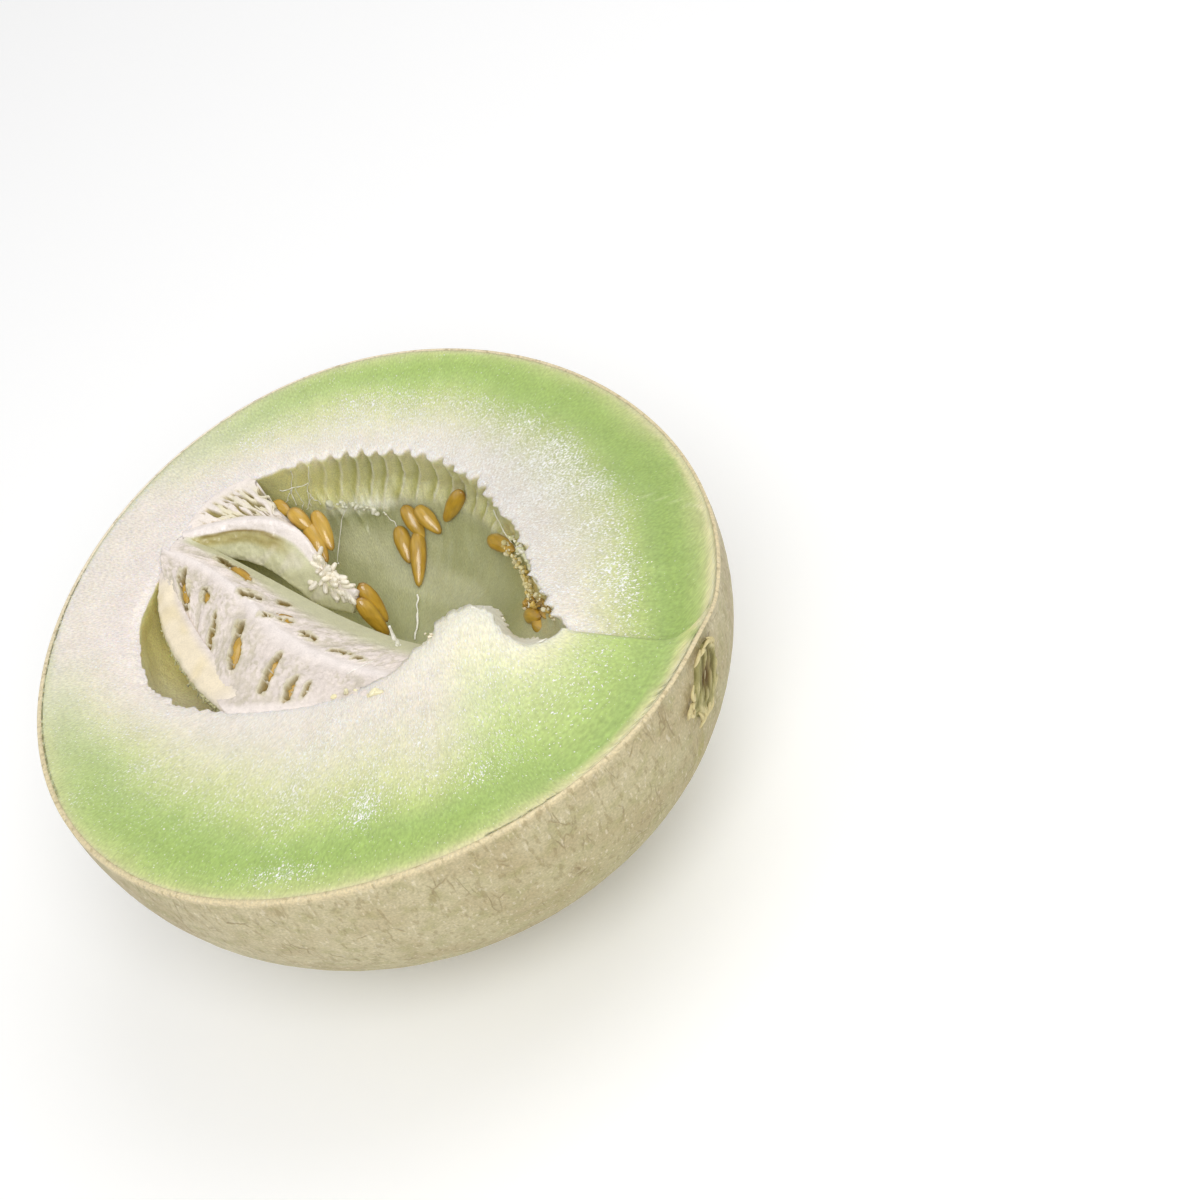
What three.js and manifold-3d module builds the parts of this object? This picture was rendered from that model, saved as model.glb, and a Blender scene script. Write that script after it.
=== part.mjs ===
// Half of a honeydew melon, cut lengthwise beside the stem scar and lying on its rind with the cut face up.
// Millimetres. +Z is up, +X points to the stem end and +Y to the fluted wall of the seed cavity.
// The origin is on the table under the middle of the melon.
// Two solids: the flesh with its rind, and the pulp that held the seeds.
// The seeds are fused to the one that they lie on.
import * as THREE from "three";
import { mergeVertices } from "three/addons/utils/BufferGeometryUtils.js";
import Module from "manifold-3d";

const wasm = await Module();
wasm.setup();

// Driving dimensions
const melon = {
  halfLength: 85,
  halfWidth: 82.5,
  halfDepth: 82,
  stemTaper: 0.085, // the stem end is this share slimmer than the middle, the blossom end this share fuller
  cutAboveMiddle: 3.5, // the knife passed this far above the widest section
  restingFlat: 1, // how much of the round underside is pressed flat where the half rests
};
// Outlines of the cavity seen from above, counterclockwise from the seam beside the stem end.
const cavityRound = [
  [51, -4], [44, 4.5], [36.5, 14.5], [25, 29], [9, 42], [-8, 47.8], [-26, 46.5], [-43, 41],
  [-56, 32], [-60.5, 18], [-62, 3], [-60.5, -10], [-50.5, -25.5], [-33, -31],
];
const tongueLip = [
  [-14, -29.5], [2, -25], [12, -18.5], [18.2, -9.5], [20.3, -2.3], [26.5, 1.1], [32.2, -1.6], [37, -6.3],
  [44.5, -8.9],
];
const underTongue = [
  [-13, -31], [4, -29], [15, -25.5], [22.5, -21], [28, -17.5], [33, -14.8], [37.5, -13], [42, -12.2],
  [47.5, -9.8],
];
const cavity = {
  floor: [-8, 7], // the deepest point
  depth: 33,
  squareness: 2.7, // how upright its walls are, 2 being a round bowl
  endSlope: 1.2, // how much less upright the wall is beside the seam
  endSpread: 36, // degrees
  bulge: 0.05, // how far the walls belly out below the rim
};
const flutes = {
  from: 9, // from and to are measured along the rim
  to: 119,
  pitch: 4.3,
  depth: 1.7,
  height: 16,
  ledge: 1.2,
  fade: 9,
};
const seam = {
  y: -4,
  step: 3.6, // how far the front stands above the rear beside it
  dip: 2.2,
  dipSpread: 13,
  end: [84.3, 11.5], // where it runs out at the rind
  endSpread: 11,
  bend: 17,
  bendAngle: 18, // degrees
};
const tongue = {
  at: [28, -9],
  spread: 13,
  height: 3,
  thickness: 11,
  lean: 20, // degrees that the face's lines swing round to reach the tongue from its own side
  bow: 2, // and how strongly they bow under it
};
const scar = { y: -7, belowCut: 11, radius: 6.5, height: 2.2, dent: 1.8, dentRadius: 20 };
// The pulp's edges, from the blossom end towards the tongue.
const lobe = {
  rear: [
    [-59.9, 19.8, -0.6], [-51.3, 18, -4], [-38, 14, -7.5], [-24, 8.6, -9], [-9, 2.5, -8.5], [5, -2.5, -7],
    [18, -6, -5],
  ],
  midrib: [
    [-61.3, 14.2, -0.4], [-49.1, 10.1, -1], [-34.9, 2, -1.4], [-21.5, -7.3, -1.4], [-5.9, -14, -1.2],
    [6.2, -17, -0.6], [18.4, -19.6, 0.2],
  ],
  front: [
    [-58.6, 3.5, -0.6], [-49.1, -5.9, -2.2], [-39.6, -17.5, -2.2], [-25.9, -32.3, -0.4], [-4.7, -35.5, 0.6],
    [8, -32.3, 1.3], [20.1, -26.4, 2],
  ],
  swell: 1, // how far its top stands above straight lines from midrib to edge
  ribs: 34,
  ribDepth: 0.8,
  sweep: 0.055, // how far the ribs lean towards the tongue, as a share of its length
};
const flap = {
  top: [
    [-61, 21, -0.4], [-53.6, 24.2, -0.6], [-46, 26.5, -0.8], [-38, 27, -1.4], [-30.5, 24.6, -3.4],
    [-24.5, 19.8, -8], [-14.5, 14.2, -12],
  ],
  low: [
    [-60, 17, -6], [-53, 20, -8], [-48, 22, -9], [-40, 21.6, -10.5], [-32.5, 18, -13], [-26, 15, -16],
    [-16.9, 13.4, -17.5],
  ],
  thickness: 3.6,
  freeThickness: 1.9, // beyond its bend
  papillae: 13,
  papilla: { length: 4.6, width: 1.7 },
};
const sponge = { from: 0, to: 0.62, sunk: 2.4, rim: -0.4, pit: 1.2, bottom: -15 };
const strip = {
  outer: [
    [-62.6, 8.6, -0.4], [-60.5, 1, -1.1], [-55, -8.6, -1.8], [-46.4, -17.8, -2], [-37.3, -25.2, -1.8],
    [-25, -33, -0.6],
  ],
  inner: [
    [-56.6, 10.6, -0.4], [-53.4, 0.9, -0.8], [-46.6, -6.9, -1.1], [-38.2, -14.4, -1.3], [-29.4, -21.6, -1],
    [-18.9, -29.2, -0.2],
  ],
  thickness: 5,
  tooth: 0.9,
};
// Each seed lies between two points, its blunt end first.
const seed = {
  width: 4.1,
  thickness: 2.3,
  facing: [0.4, -0.5, 0.75], // the way their flat sides look
  onFlesh: [
    [[-15.2, 45.4, -17.1], [-10, 40.2, -23.8]], [[-11.7, 45.4, -17.3], [-5.1, 41.1, -22.5]],
    [[-17.1, 40.5, -23.5], [-13.3, 34, -27.8]], [[3.4, 45.8, -10.7], [-3.8, 43, -20.1]],
    [[29.3, 13.7, -16.4], [36.4, 9.7, -11.7]], [[29.5, 15.4, -15.6], [31.1, 17.1, -13.8]],
    [[36.7, 12.5, -11.1], [38.8, 8.6, -10.9]], [[33.3, 10.1, -14.1], [40.5, 6.5, -13.3]],
    [[-11.4, 39.7, -24], [-9.9, 29.1, -30.2]], [[10.7, 37.3, -18.2], [21.6, 30.8, -14.4]],
  ],
  onPulp: [
    [[-32.6, 25, -4.9], [-25.8, 19.7, -9.5]], [[-31, 28.6, -4.1], [-24.6, 21.2, -10.5]],
    [[-29.6, 31.8, -3.4], [-23.9, 24.2, -9.5]], [[-35, 30, -1.1], [-29, 27, -5.5]],
    [[-43.3, 34.7, -5], [-37.4, 32.3, -6]], [[-14.8, 13.4, -13.6], [-8.9, 10.2, -24]],
    [[-14.8, 16.7, -11.9], [-9.5, 13, -22.2]], [[-32.9, -8.3, -1.4], [-31.5, -18.3, -1.5]],
    [[-19.9, -15, -1.1], [-21.9, -24.4, -1.4]], [[-12.8, -20.5, -0.8], [-13.3, -28.2, -1.1]],
    [[-8.5, -21.6, -0.7], [-8.1, -26.3, -0.9]], [[-54.3, 6.4, -1.3], [-52.2, 0.5, -1.7]],
    [[-47.7, 3.9, -1.1], [-45.7, -0.1, -1.5]], [[-45.7, 12.6, -3], [-37.9, 9, -3.6]],
    [[-29.3, -1.9, -2.2], [-18.6, -2.8, -3]],
  ],
};
const gap = 0.35; // between solids that touch in the real fruit

// Counts of facets
const plainSpacing = 3.1; // millimetres between columns where there are no flutes
const rindRings = 13;
const faceShares = [0.05, 0.13, 0.3, 0.55, 0.8, 1]; // of the way from the rind to the cavity
const wallRings = 15;

const deg = Math.PI / 180;
const smooth = (a, b, v) => {
  const t = Math.min(1, Math.max(0, (v - a) / (b - a)));
  return t * t * (3 - 2 * t);
};
const bell = (d, spread) => Math.exp(-((d / spread) ** 2));
const closedCurve = (points) => {
  const corners = points.map(([x, y]) => new THREE.Vector3(x, y, 0));
  return new THREE.CatmullRomCurve3(corners, true, "catmullrom", 0.5);
};

// Levels: everything below is worked out from the cut plane at z = 0 and lifted at the end.
const middleLevel = -melon.cutAboveMiddle;
const fullness = (x) => 1 - (melon.stemTaper * x) / melon.halfLength;
const deepest = melon.halfDepth * Math.sqrt(1 + melon.stemTaper ** 2);
const cutLevel = deepest + melon.cutAboveMiddle - melon.restingFlat;

// Height of the cut: two strokes of the knife that met badly beside the stem end.
function faceHeight(x, y, front) {
  if (front) {
    const toEnd = Math.hypot(x - seam.end[0], y - seam.end[1]);
    const tilt = seam.step * smooth(-50, 60, x) * (1 - bell(toEnd, seam.endSpread));
    const [besideX, besideY] = [x - tongue.at[0], y - tongue.at[1]];
    return tilt + tongue.height * bell(besideX, tongue.spread) * bell(besideY, tongue.spread);
  }
  return -seam.dip * bell(y - seam.y, seam.dipSpread) * smooth(44, 62, x) * smooth(84, 74, x);
}

// How far a point lies outside the rind, below 0 inside it.
function beyondRind(x, y, z) {
  const k = fullness(x);
  const u = x / melon.halfLength;
  const v = y / (melon.halfWidth * k);
  const w = (z - middleLevel) / (melon.halfDepth * k);
  return u * u + v * v + w * w - 1;
}

// The dent round the stem scar, as a share taken off the rind's distance from the middle.
function scarDent(x, y, z) {
  if (x < 0) return 0;
  const d = Math.hypot(y - scar.y, z + scar.belowCut);
  return (scar.dent * bell(d, scar.dentRadius)) / melon.halfLength;
}

// Where the rind meets the cut, on the ray at this angle from the floor's middle.
function rimOfRind(angle, front) {
  const [cx, cy] = cavity.floor;
  let [near, far] = [0, 2 * melon.halfLength];
  for (let i = 0; i < 40; i += 1) {
    const r = (near + far) / 2;
    const [x, y] = [cx + r * Math.cos(angle), cy + r * Math.sin(angle)];
    if (beyondRind(x, y, faceHeight(x, y, front)) > 0) far = r;
    else near = r;
  }
  const [x, y] = [cx + near * Math.cos(angle), cy + near * Math.sin(angle)];
  return new THREE.Vector3(x, y, faceHeight(x, y, front));
}

// The rind's underside, from share 0 at the bottom to 1 at the cut, on the column that ends at rim.
function rindPoint(rim, share) {
  const k = fullness(rim.x);
  const longitude = Math.atan2(rim.y / (melon.halfWidth * k), rim.x / melon.halfLength);
  const top = Math.asin((rim.z - middleLevel) / (melon.halfDepth * k));
  const latitude = -Math.PI / 2 + (top + Math.PI / 2) * share;
  const x = melon.halfLength * Math.cos(latitude) * Math.cos(longitude);
  const kx = fullness(x);
  const y = melon.halfWidth * kx * Math.cos(latitude) * Math.sin(longitude);
  const z = middleLevel + melon.halfDepth * kx * Math.sin(latitude);
  const s = 1 - scarDent(x, y, z);
  return new THREE.Vector3(x * s, y * s, Math.max(z, -cutLevel));
}

// The face, from share 0 at the rind to 1 at the cavity. Near the seam its lines bend to run beside it.
function facePoint(rim, inner, share, column) {
  const p = new THREE.Vector3().lerpVectors(rim, inner, share);
  const out = 1 - share;
  const bow = 3 * tongue.bow * out * share ** 2;
  p.x += (column.belly.x - column.lip.x) * bow;
  p.y += (column.belly.y - column.lip.y) * bow;
  p.y -= seam.bend * out * (1 - out ** 14) * bell(column.turn, seam.bendAngle * deg);
  p.z = faceHeight(p.x, p.y, column.front);
  return p;
}

// Evenly spaced numbers between two ends, half a step clear of each.
function between(from, to, spacing) {
  const n = Math.round((to - from) / spacing);
  return Array.from({ length: n }, (_, i) => from + ((i + 0.5) * (to - from)) / n);
}

// How strongly the seeds that lay there have fluted the wall, at a distance along the rim.
function fluteStrength(along) {
  const { from, to, fade } = flutes;
  return smooth(from, from + fade, along) * smooth(to, to - fade, along);
}

// The cavity's wall and floor, from share 0 at the rim to 1 at the deepest point.
function wallPoint(column, share, inset) {
  const [fx, fy] = cavity.floor;
  const slope = (share * Math.PI) / 2;
  const power = 2 / (cavity.squareness - cavity.endSlope * bell(column.turn, cavity.endSpread * deg));
  const down = cavity.depth * Math.sin(slope) ** power;
  const belly = 1 + cavity.bulge * Math.sin(Math.min(1, share * 2) * Math.PI);
  const outline = column.lip.clone().lerp(column.belly, smooth(0.2, 1, down / tongue.thickness));
  const out = new THREE.Vector2(outline.x - fx, outline.y - fy);
  let r = out.length() * Math.cos(slope) ** power * belly;
  out.normalize();
  r += flutes.depth * column.groove * (1 - smooth(0.7, 1, down / flutes.height));
  r -= flutes.ledge * column.fluted * bell(down - flutes.height - 1, 2.5);
  r = Math.max(0, r - inset);
  const top = column.lip.z;
  const z = top - down * (1 + top / cavity.depth) + inset * share;
  return new THREE.Vector3(fx + out.x * r, fy + out.y * r, z);
}

// The columns of points that run up the rind, across the face and down the cavity's wall.
function makeColumns(inset) {
  const lipCurve = closedCurve([...cavityRound, ...tongueLip]);
  const bellyCurve = closedCurve([...cavityRound, ...underTongue]);
  const rimLength = lipCurve.getLength();
  const besideSeam = 0.2;
  const grooved = between(flutes.from, flutes.to, flutes.pitch / 2);
  const alongs = [
    besideSeam,
    ...between(besideSeam, flutes.from, plainSpacing),
    ...grooved,
    ...between(flutes.to, rimLength - besideSeam, plainSpacing),
    rimLength - besideSeam,
  ];
  const [fx, fy] = cavity.floor;
  const seamAngle = Math.atan2(seam.end[1] - fy, seam.end[0] - fx);
  const seamFrom = Math.atan2(bellyCurve.getPoint(0).y - fy, bellyCurve.getPoint(0).x - fx);
  return alongs.map((along) => {
    const t = lipCurve.getUtoTmapping(along / rimLength);
    const lip = lipCurve.getPoint(t);
    const belly = bellyCurve.getPoint(t);
    const front = along > rimLength / 2;
    const fluted = fluteStrength(along);
    const groove = grooved.indexOf(along) % 2 === 1 ? fluted : 0;
    const out = Math.atan2(belly.y - fy, belly.x - fx);
    const turn = ((out - seamFrom + 3 * Math.PI) % (2 * Math.PI)) - Math.PI;
    const back = rimLength - along;
    const swing = tongue.lean * deg * smooth(0, 24, back) * smooth(160, 34, back);
    const angle = out + (seamAngle - seamFrom) * bell(turn, 40 * deg) - swing;
    const away = new THREE.Vector3(lip.x - fx, lip.y - fy, 0).normalize();
    lip.z = faceHeight(lip.x, lip.y, front);
    const column = { lip, belly, front, fluted, groove, turn };
    column.inner = lip.clone().addScaledVector(away, flutes.depth * groove - inset);
    column.outer = rimOfRind(angle, front);
    return column;
  });
}

// A closed surface from rings of points that share their columns, with a point at each end.
function ringSolid(bottom, rings, top) {
  const n = rings[0].length;
  const points = [bottom, ...rings.flat(), top];
  const index = [];
  const at = (ring, i) => 1 + ring * n + (i % n);
  const last = rings.length - 1;
  for (let i = 0; i < n; i += 1) {
    index.push(0, at(0, i + 1), at(0, i));
    index.push(points.length - 1, at(last, i), at(last, i + 1));
    for (let j = 0; j < last; j += 1) {
      index.push(at(j, i), at(j, i + 1), at(j + 1, i + 1));
      index.push(at(j, i), at(j + 1, i + 1), at(j + 1, i));
    }
  }
  const flat = new Float32Array(points.flatMap((p) => [p.x, p.y, p.z]));
  const mesh = new wasm.Mesh({ numProp: 3, vertProperties: flat, triVerts: new Uint32Array(index) });
  return new wasm.Manifold(mesh);
}

// The flesh and rind. inset shrinks the cavity, for cutting the pulp to fit with a gap.
function fleshSolid(inset = 0) {
  const made = makeColumns(inset);
  const rings = [];
  for (let j = 1; j <= rindRings; j += 1) rings.push(made.map((c) => rindPoint(c.outer, j / rindRings)));
  faceShares.forEach((share) => rings.push(made.map((c) => facePoint(c.outer, c.inner, share, c))));
  for (let j = 1; j < wallRings; j += 1) rings.push(made.map((c) => wallPoint(c, j / wallRings, inset)));
  const underside = new THREE.Vector3(0, 0, -cutLevel);
  const floor = new THREE.Vector3(cavity.floor[0], cavity.floor[1], inset - cavity.depth);
  return ringSolid(underside, rings, floor);
}

// A three.js geometry as a solid.
function solidOf(geometry) {
  const bare = geometry.clone();
  bare.deleteAttribute("normal");
  bare.deleteAttribute("uv");
  const merged = mergeVertices(bare, 1e-4);
  return new wasm.Manifold(
    new wasm.Mesh({
      numProp: 3,
      vertProperties: merged.attributes.position.array,
      triVerts: new Uint32Array(merged.index.array),
    }),
  );
}

// A geometry one unit long in y, stretched between two points, with its z side turned to face a direction.
function placed(geometry, from, to, facing) {
  const [a, b] = [new THREE.Vector3(...from), new THREE.Vector3(...to)];
  const y = b.clone().sub(a).normalize();
  const x = new THREE.Vector3().crossVectors(y, facing).normalize();
  const z = new THREE.Vector3().crossVectors(x, y);
  const turn = new THREE.Matrix4().makeBasis(x, y, z).setPosition(a.clone().add(b).multiplyScalar(0.5));
  return solidOf(geometry.scale(1, a.distanceTo(b), 1).applyMatrix4(turn));
}

// A seed is a flattened drop.
function seedSolid([from, to]) {
  const g = new THREE.SphereGeometry(0.5, 5, 4);
  const position = g.attributes.position;
  for (let i = 0; i < position.count; i += 1) {
    const along = position.getY(i);
    const pinch = 1 - 0.5 * along; // slimmer at the tip
    position.setXYZ(i, position.getX(i) * pinch, along, position.getZ(i) * pinch);
  }
  return placed(g.scale(seed.width, 1, seed.thickness), from, to, new THREE.Vector3(...seed.facing));
}

// The corky scar that the stem left, a low uneven dome.
function scarSolid() {
  const level = -scar.belowCut;
  const [u, v] = [scar.y / melon.halfWidth, (level - middleLevel) / melon.halfDepth];
  const out = melon.halfLength * Math.sqrt(1 - u * u - v * v) - scar.dent;
  const g = new THREE.SphereGeometry(0.5, 14, 8);
  const position = g.attributes.position;
  for (let i = 0; i < position.count; i += 1) {
    const point = Math.cos(5 * Math.atan2(position.getZ(i), position.getX(i)));
    const wide = 1 + 0.16 * point;
    position.setXYZ(i, position.getX(i) * wide, position.getY(i), position.getZ(i) * wide);
  }
  g.scale(2 * scar.radius, 1, 2 * scar.radius);
  const [from, to] = [[out - scar.height, scar.y, level], [out + scar.height, scar.y, level]];
  return placed(g, from, to, new THREE.Vector3(0, 0, 1));
}

const openCurve = (points) => {
  const corners = points.map((p) => new THREE.Vector3(...p));
  return new THREE.CatmullRomCurve3(corners, false, "centripetal");
};
const at = (curve, s) => curve.getPoint(Math.min(1, Math.max(0, s)));
const steps = (n) => Array.from({ length: n + 1 }, (_, i) => i / n);

// A body lofted through rings of points, each given from its front edge over the top and back underneath.
function loft(rings) {
  const sum = (ring) => ring.reduce((total, p) => total.add(p), new THREE.Vector3());
  const middle = (ring) => sum(ring).divideScalar(ring.length);
  const made = (list) => ringSolid(middle(list[0]), list, middle(list.at(-1)));
  const solid = made(rings);
  return solid.volume() > 0 ? solid : made(rings.map((ring) => [...ring].reverse()));
}

// The main lobe: a midrib with ribs that sweep down both its sides, standing on the cavity's floor.
function lobeSolid() {
  const [rear, midrib, front] = [lobe.rear, lobe.midrib, lobe.front].map(openCurve);
  const across = 5;
  const rings = steps(lobe.ribs).map((s, i) => {
    const side = (edge) =>
      steps(across).map((t) => {
        const slant = s + lobe.sweep * t;
        const p = at(midrib, s).lerp(at(edge, slant), t);
        p.z += (lobe.swell - lobe.ribDepth * (i % 2)) * Math.sin(Math.PI * t);
        return p;
      });
    const [a, b] = [side(front).reverse(), side(rear)];
    const foot = -cavity.depth - 4;
    const under = b[across].clone().add(new THREE.Vector3(-1.5, -3, -4));
    const feet = [under, a[0]].map((p) => p.clone().setZ(foot));
    return [...a, ...b.slice(1), under, ...feet];
  });
  return loft(rings);
}

// The flap: a thick ribbon cut off level at its top, hanging into the cavity and frayed at its free end.
function flapSolids() {
  const [top, low] = [flap.top, flap.low].map(openCurve);
  const rings = steps(16).map((s) => {
    const [a, b] = [at(top, s), at(low, s)];
    const along = at(top, s + 0.03).sub(at(top, s - 0.03)).normalize();
    const thickness = flap.thickness + (flap.freeThickness - flap.thickness) * smooth(0.5, 0.68, s);
    const n = new THREE.Vector3().crossVectors(along, a.clone().sub(b));
    n.setLength(thickness / 2);
    const round = 0.55;
    const level = (t, k) => a.clone().lerp(b, t).addScaledVector(n, k);
    return [
      level(0, -round), level(0.12, -1), level(0.5, -1.15), level(0.88, -1), level(1, -round),
      level(1, round), level(0.88, 1), level(0.5, 1.15), level(0.12, 1), level(0, round),
    ];
  });
  const made = [loft(rings)];
  for (let i = 0; i < flap.papillae; i += 1) {
    const s = 0.8 + (0.2 * i) / flap.papillae;
    const t = (i * 0.618) % 1;
    const root = at(top, s).lerp(at(low, s), t);
    const way = new THREE.Vector3(0.75 - 0.5 * t, 0.55 * Math.cos(i * 2.4), 0.75 - 1.1 * t).normalize();
    const tip = root.clone().addScaledVector(way, flap.papilla.length * (0.8 + 0.3 * Math.sin(i * 1.7)));
    const g = new THREE.SphereGeometry(0.5, 5, 4).scale(flap.papilla.width, 1, flap.papilla.width);
    made.push(placed(g, root.addScaledVector(way, -1.5), tip, new THREE.Vector3(0, 0, 1)));
  }
  return made;
}

// The spongy tissue between the flap and the cavity's rim.
function spongeSolid() {
  const top = openCurve(flap.top);
  const [fx, fy] = cavity.floor;
  const rings = steps(12).map((share, i) => {
    const s = sponge.from + (sponge.to - sponge.from) * share;
    const near = at(top, s);
    const away = new THREE.Vector3(near.x - fx, near.y - fy, 0).normalize();
    const level = (d, z) => near.clone().addScaledVector(away, d).setZ(z);
    const sunk = near.z - 1.4 - sponge.sunk * smooth(0.3, 1, share);
    const pit = (k) => (((i * 3 + k * 2) % 5) / 4) * sponge.pit;
    const rise = (t, k) => sunk + (sponge.rim - sunk) * t - pit(k) * (1 - t);
    return [
      level(-0.5, sunk), level(2.5, rise(0.2, 0)), level(5.5, rise(0.5, 1)), level(8.5, rise(0.85, 2)),
      level(14, sponge.rim), level(14, sponge.bottom), level(-0.5, sponge.bottom + 5),
    ];
  });
  return loft(rings);
}

// The strip: a level-cut band with a toothed outer edge, beside the pocket at the blossom end.
function stripSolid() {
  const [outer, inner] = [strip.outer, strip.inner].map(openCurve);
  const rings = steps(22).map((s, i) => {
    const [a, b] = [at(outer, s), at(inner, s)];
    const away = a.clone().sub(b).setZ(0).normalize();
    const tooth = strip.tooth * (i % 2 ? 1 : -1);
    const edge = a.clone().addScaledVector(away, tooth);
    const down = (p, d) => p.clone().setZ(p.z - d);
    const crown = a.clone().lerp(b, 0.5);
    crown.z += 0.7;
    const { thickness } = strip;
    return [edge, crown, b, down(b, thickness), down(a, thickness + 1), down(a, thickness / 2)];
  });
  return loft(rings);
}

function meshOf(solid, name, colour, roughness) {
  const m = solid.getMesh();
  const position = new Float32Array(m.numVert * 3);
  for (let i = 0; i < m.numVert; i += 1) {
    position.set(m.vertProperties.subarray(i * m.numProp, i * m.numProp + 3), i * 3);
  }
  const geometry = new THREE.BufferGeometry();
  geometry.setAttribute("position", new THREE.BufferAttribute(position, 3));
  geometry.setIndex(new THREE.BufferAttribute(new Uint32Array(m.triVerts), 1));
  geometry.translate(0, 0, cutLevel);
  geometry.computeVertexNormals();
  const material = new THREE.MeshStandardMaterial({ color: colour, roughness, metalness: 0 });
  const mesh = new THREE.Mesh(geometry, material);
  mesh.name = name;
  return mesh;
}

const { union } = wasm.Manifold;
const flesh = union([fleshSolid(), scarSolid(), ...seed.onFlesh.map(seedSolid)]);
const barePulp = union([lobeSolid(), ...flapSolids(), spongeSolid(), stripSolid()]);
const [pulp] = union([barePulp, ...seed.onPulp.map(seedSolid)])
  .subtract(fleshSolid(gap))
  .decompose()
  .sort((a, b) => b.volume() - a.volume());

const half = new THREE.Group();
half.add(meshOf(flesh, "flesh_and_rind", 0xd3dca8, 0.45));
half.add(meshOf(pulp, "pulp", 0xeee4d4, 0.6));

export default half;
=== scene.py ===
# Half of a honeydew melon lying on its rind, with the pulp and seeds in its cavity.
# Lengths are in millimetres in the frame of the cut, whose plane is z = 0, until a piece is made.
import math

import bpy
import numpy as np
from mathutils import Matrix, Vector


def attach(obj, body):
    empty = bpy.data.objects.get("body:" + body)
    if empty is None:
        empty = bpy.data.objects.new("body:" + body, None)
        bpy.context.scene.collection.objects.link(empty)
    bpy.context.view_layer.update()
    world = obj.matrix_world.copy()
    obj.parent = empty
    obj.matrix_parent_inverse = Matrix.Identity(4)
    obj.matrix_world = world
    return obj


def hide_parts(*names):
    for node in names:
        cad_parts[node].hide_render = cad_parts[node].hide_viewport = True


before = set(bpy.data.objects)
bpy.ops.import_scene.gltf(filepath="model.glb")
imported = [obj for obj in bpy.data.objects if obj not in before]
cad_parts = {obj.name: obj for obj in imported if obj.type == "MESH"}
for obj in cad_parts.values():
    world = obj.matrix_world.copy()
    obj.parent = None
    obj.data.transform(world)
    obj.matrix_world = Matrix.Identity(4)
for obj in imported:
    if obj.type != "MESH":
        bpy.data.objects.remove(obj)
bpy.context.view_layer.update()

# What a user would change is in one dictionary for each piece, above the code that uses it.
melon = {
    "halfLength": 85, "halfWidth": 82.5, "halfDepth": 82, "stemTaper": 0.085, "cutAboveMiddle": 3.5,
    "restingFlat": 1, "columnSpacing": 0.3,
}


def smooth(a, b, v):
    t = np.clip((np.asarray(v, float) - a) / (b - a), 0, 1)
    return t * t * (3 - 2 * t)


def bell(d, spread):
    return np.exp(-((np.asarray(d, float) / spread) ** 2))


def mix(a, b, w):
    w = np.asarray(w, float)[..., None]
    return np.asarray(a, float) * (1 - w) + np.asarray(b, float) * w


# One colour at every point of this shape.
def evenColour(colour, shape):
    return np.broadcast_to(np.array(colour, float), shape)


# A colour given as on a screen, 0 to 255, as the shader's linear light.
def light(rgb):
    c = np.asarray(rgb, float) / 255
    return np.where(c <= 0.04045, c / 12.92, ((c + 0.055) / 1.055) ** 2.4)


# Smooth noise from -1 to 1 with bumps of about this size.
def noiseAt(points, size, seedNumber):
    lattice = np.random.RandomState(seedNumber).uniform(-1, 1, (32, 32, 32))
    q = np.asarray(points, float) / size
    whole = np.floor(q).astype(int)
    part = q - whole
    part = part * part * (3 - 2 * part)
    total = np.zeros(q.shape[:-1])
    for corner in np.ndindex(2, 2, 2):
        weight = np.ones(q.shape[:-1])
        for k in range(3):
            weight = weight * (part[..., k] if corner[k] else 1 - part[..., k])
        i, j, k = [(whole[..., n] + corner[n]) % 32 for n in range(3)]
        total += weight * lattice[i, j, k]
    return total


def flatNoise(u, v, seedNumber):
    return noiseAt(np.stack([u, v, np.zeros_like(u)], -1), 1, seedNumber)


# A smooth curve through points, as a function of a share from 0 to 1.
def curveThrough(points, closed=False):
    p = np.array(points, float)
    n = len(p)
    if closed:
        ends = np.concatenate([p[-1:], p, p[:2]])
    else:
        ends = np.concatenate([2 * p[:1] - p[1:2], p, 2 * p[-1:] - p[-2:-1]])

    def at(t):
        spans = n if closed else n - 1
        u = (np.asarray(t, float) % 1 if closed else np.clip(t, 0, 1)) * spans
        i = np.minimum(u.astype(int), spans - 1)
        w = (u - i)[..., None]
        a, b, c, d = ends[i], ends[i + 1], ends[i + 2], ends[i + 3]
        if closed:
            ta, tb = (c - a) / 2, (d - b) / 2
        else:
            d0, d1, d2 = [np.sqrt(np.linalg.norm(y - x, axis=-1, keepdims=True)) for x,
                y in ((a, b), (b, c), (c, d))]
            ta = ((b - a) / d0 - (c - a) / (d0 + d1) + (c - b) / d1) * d1
            tb = ((c - b) / d1 - (d - b) / (d1 + d2) + (d - c) / d2) * d1
        return b + ta * w + (3 * (c - b) - 2 * ta - tb) * w**2 + (2 * (b - c) + ta + tb) * w**3

    return at


middleLevel = -melon["cutAboveMiddle"]
deepest = melon["halfDepth"] * math.sqrt(1 + melon["stemTaper"] ** 2)
cutLevel = deepest + melon["cutAboveMiddle"] - melon["restingFlat"]


def fullness(x):
    return 1 - melon["stemTaper"] * x / melon["halfLength"]


seam = {
    "y": -4, "step": 3.6, "dip": 2.2, "dipSpread": 13, "end": [84.3, 11.5], "endSpread": 11, "bend": 17,
    "bendAngle": 18,
}
tongue = {"at": [28, -9], "spread": 13, "height": 3, "thickness": 11, "lean": 20, "bow": 2}


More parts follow.
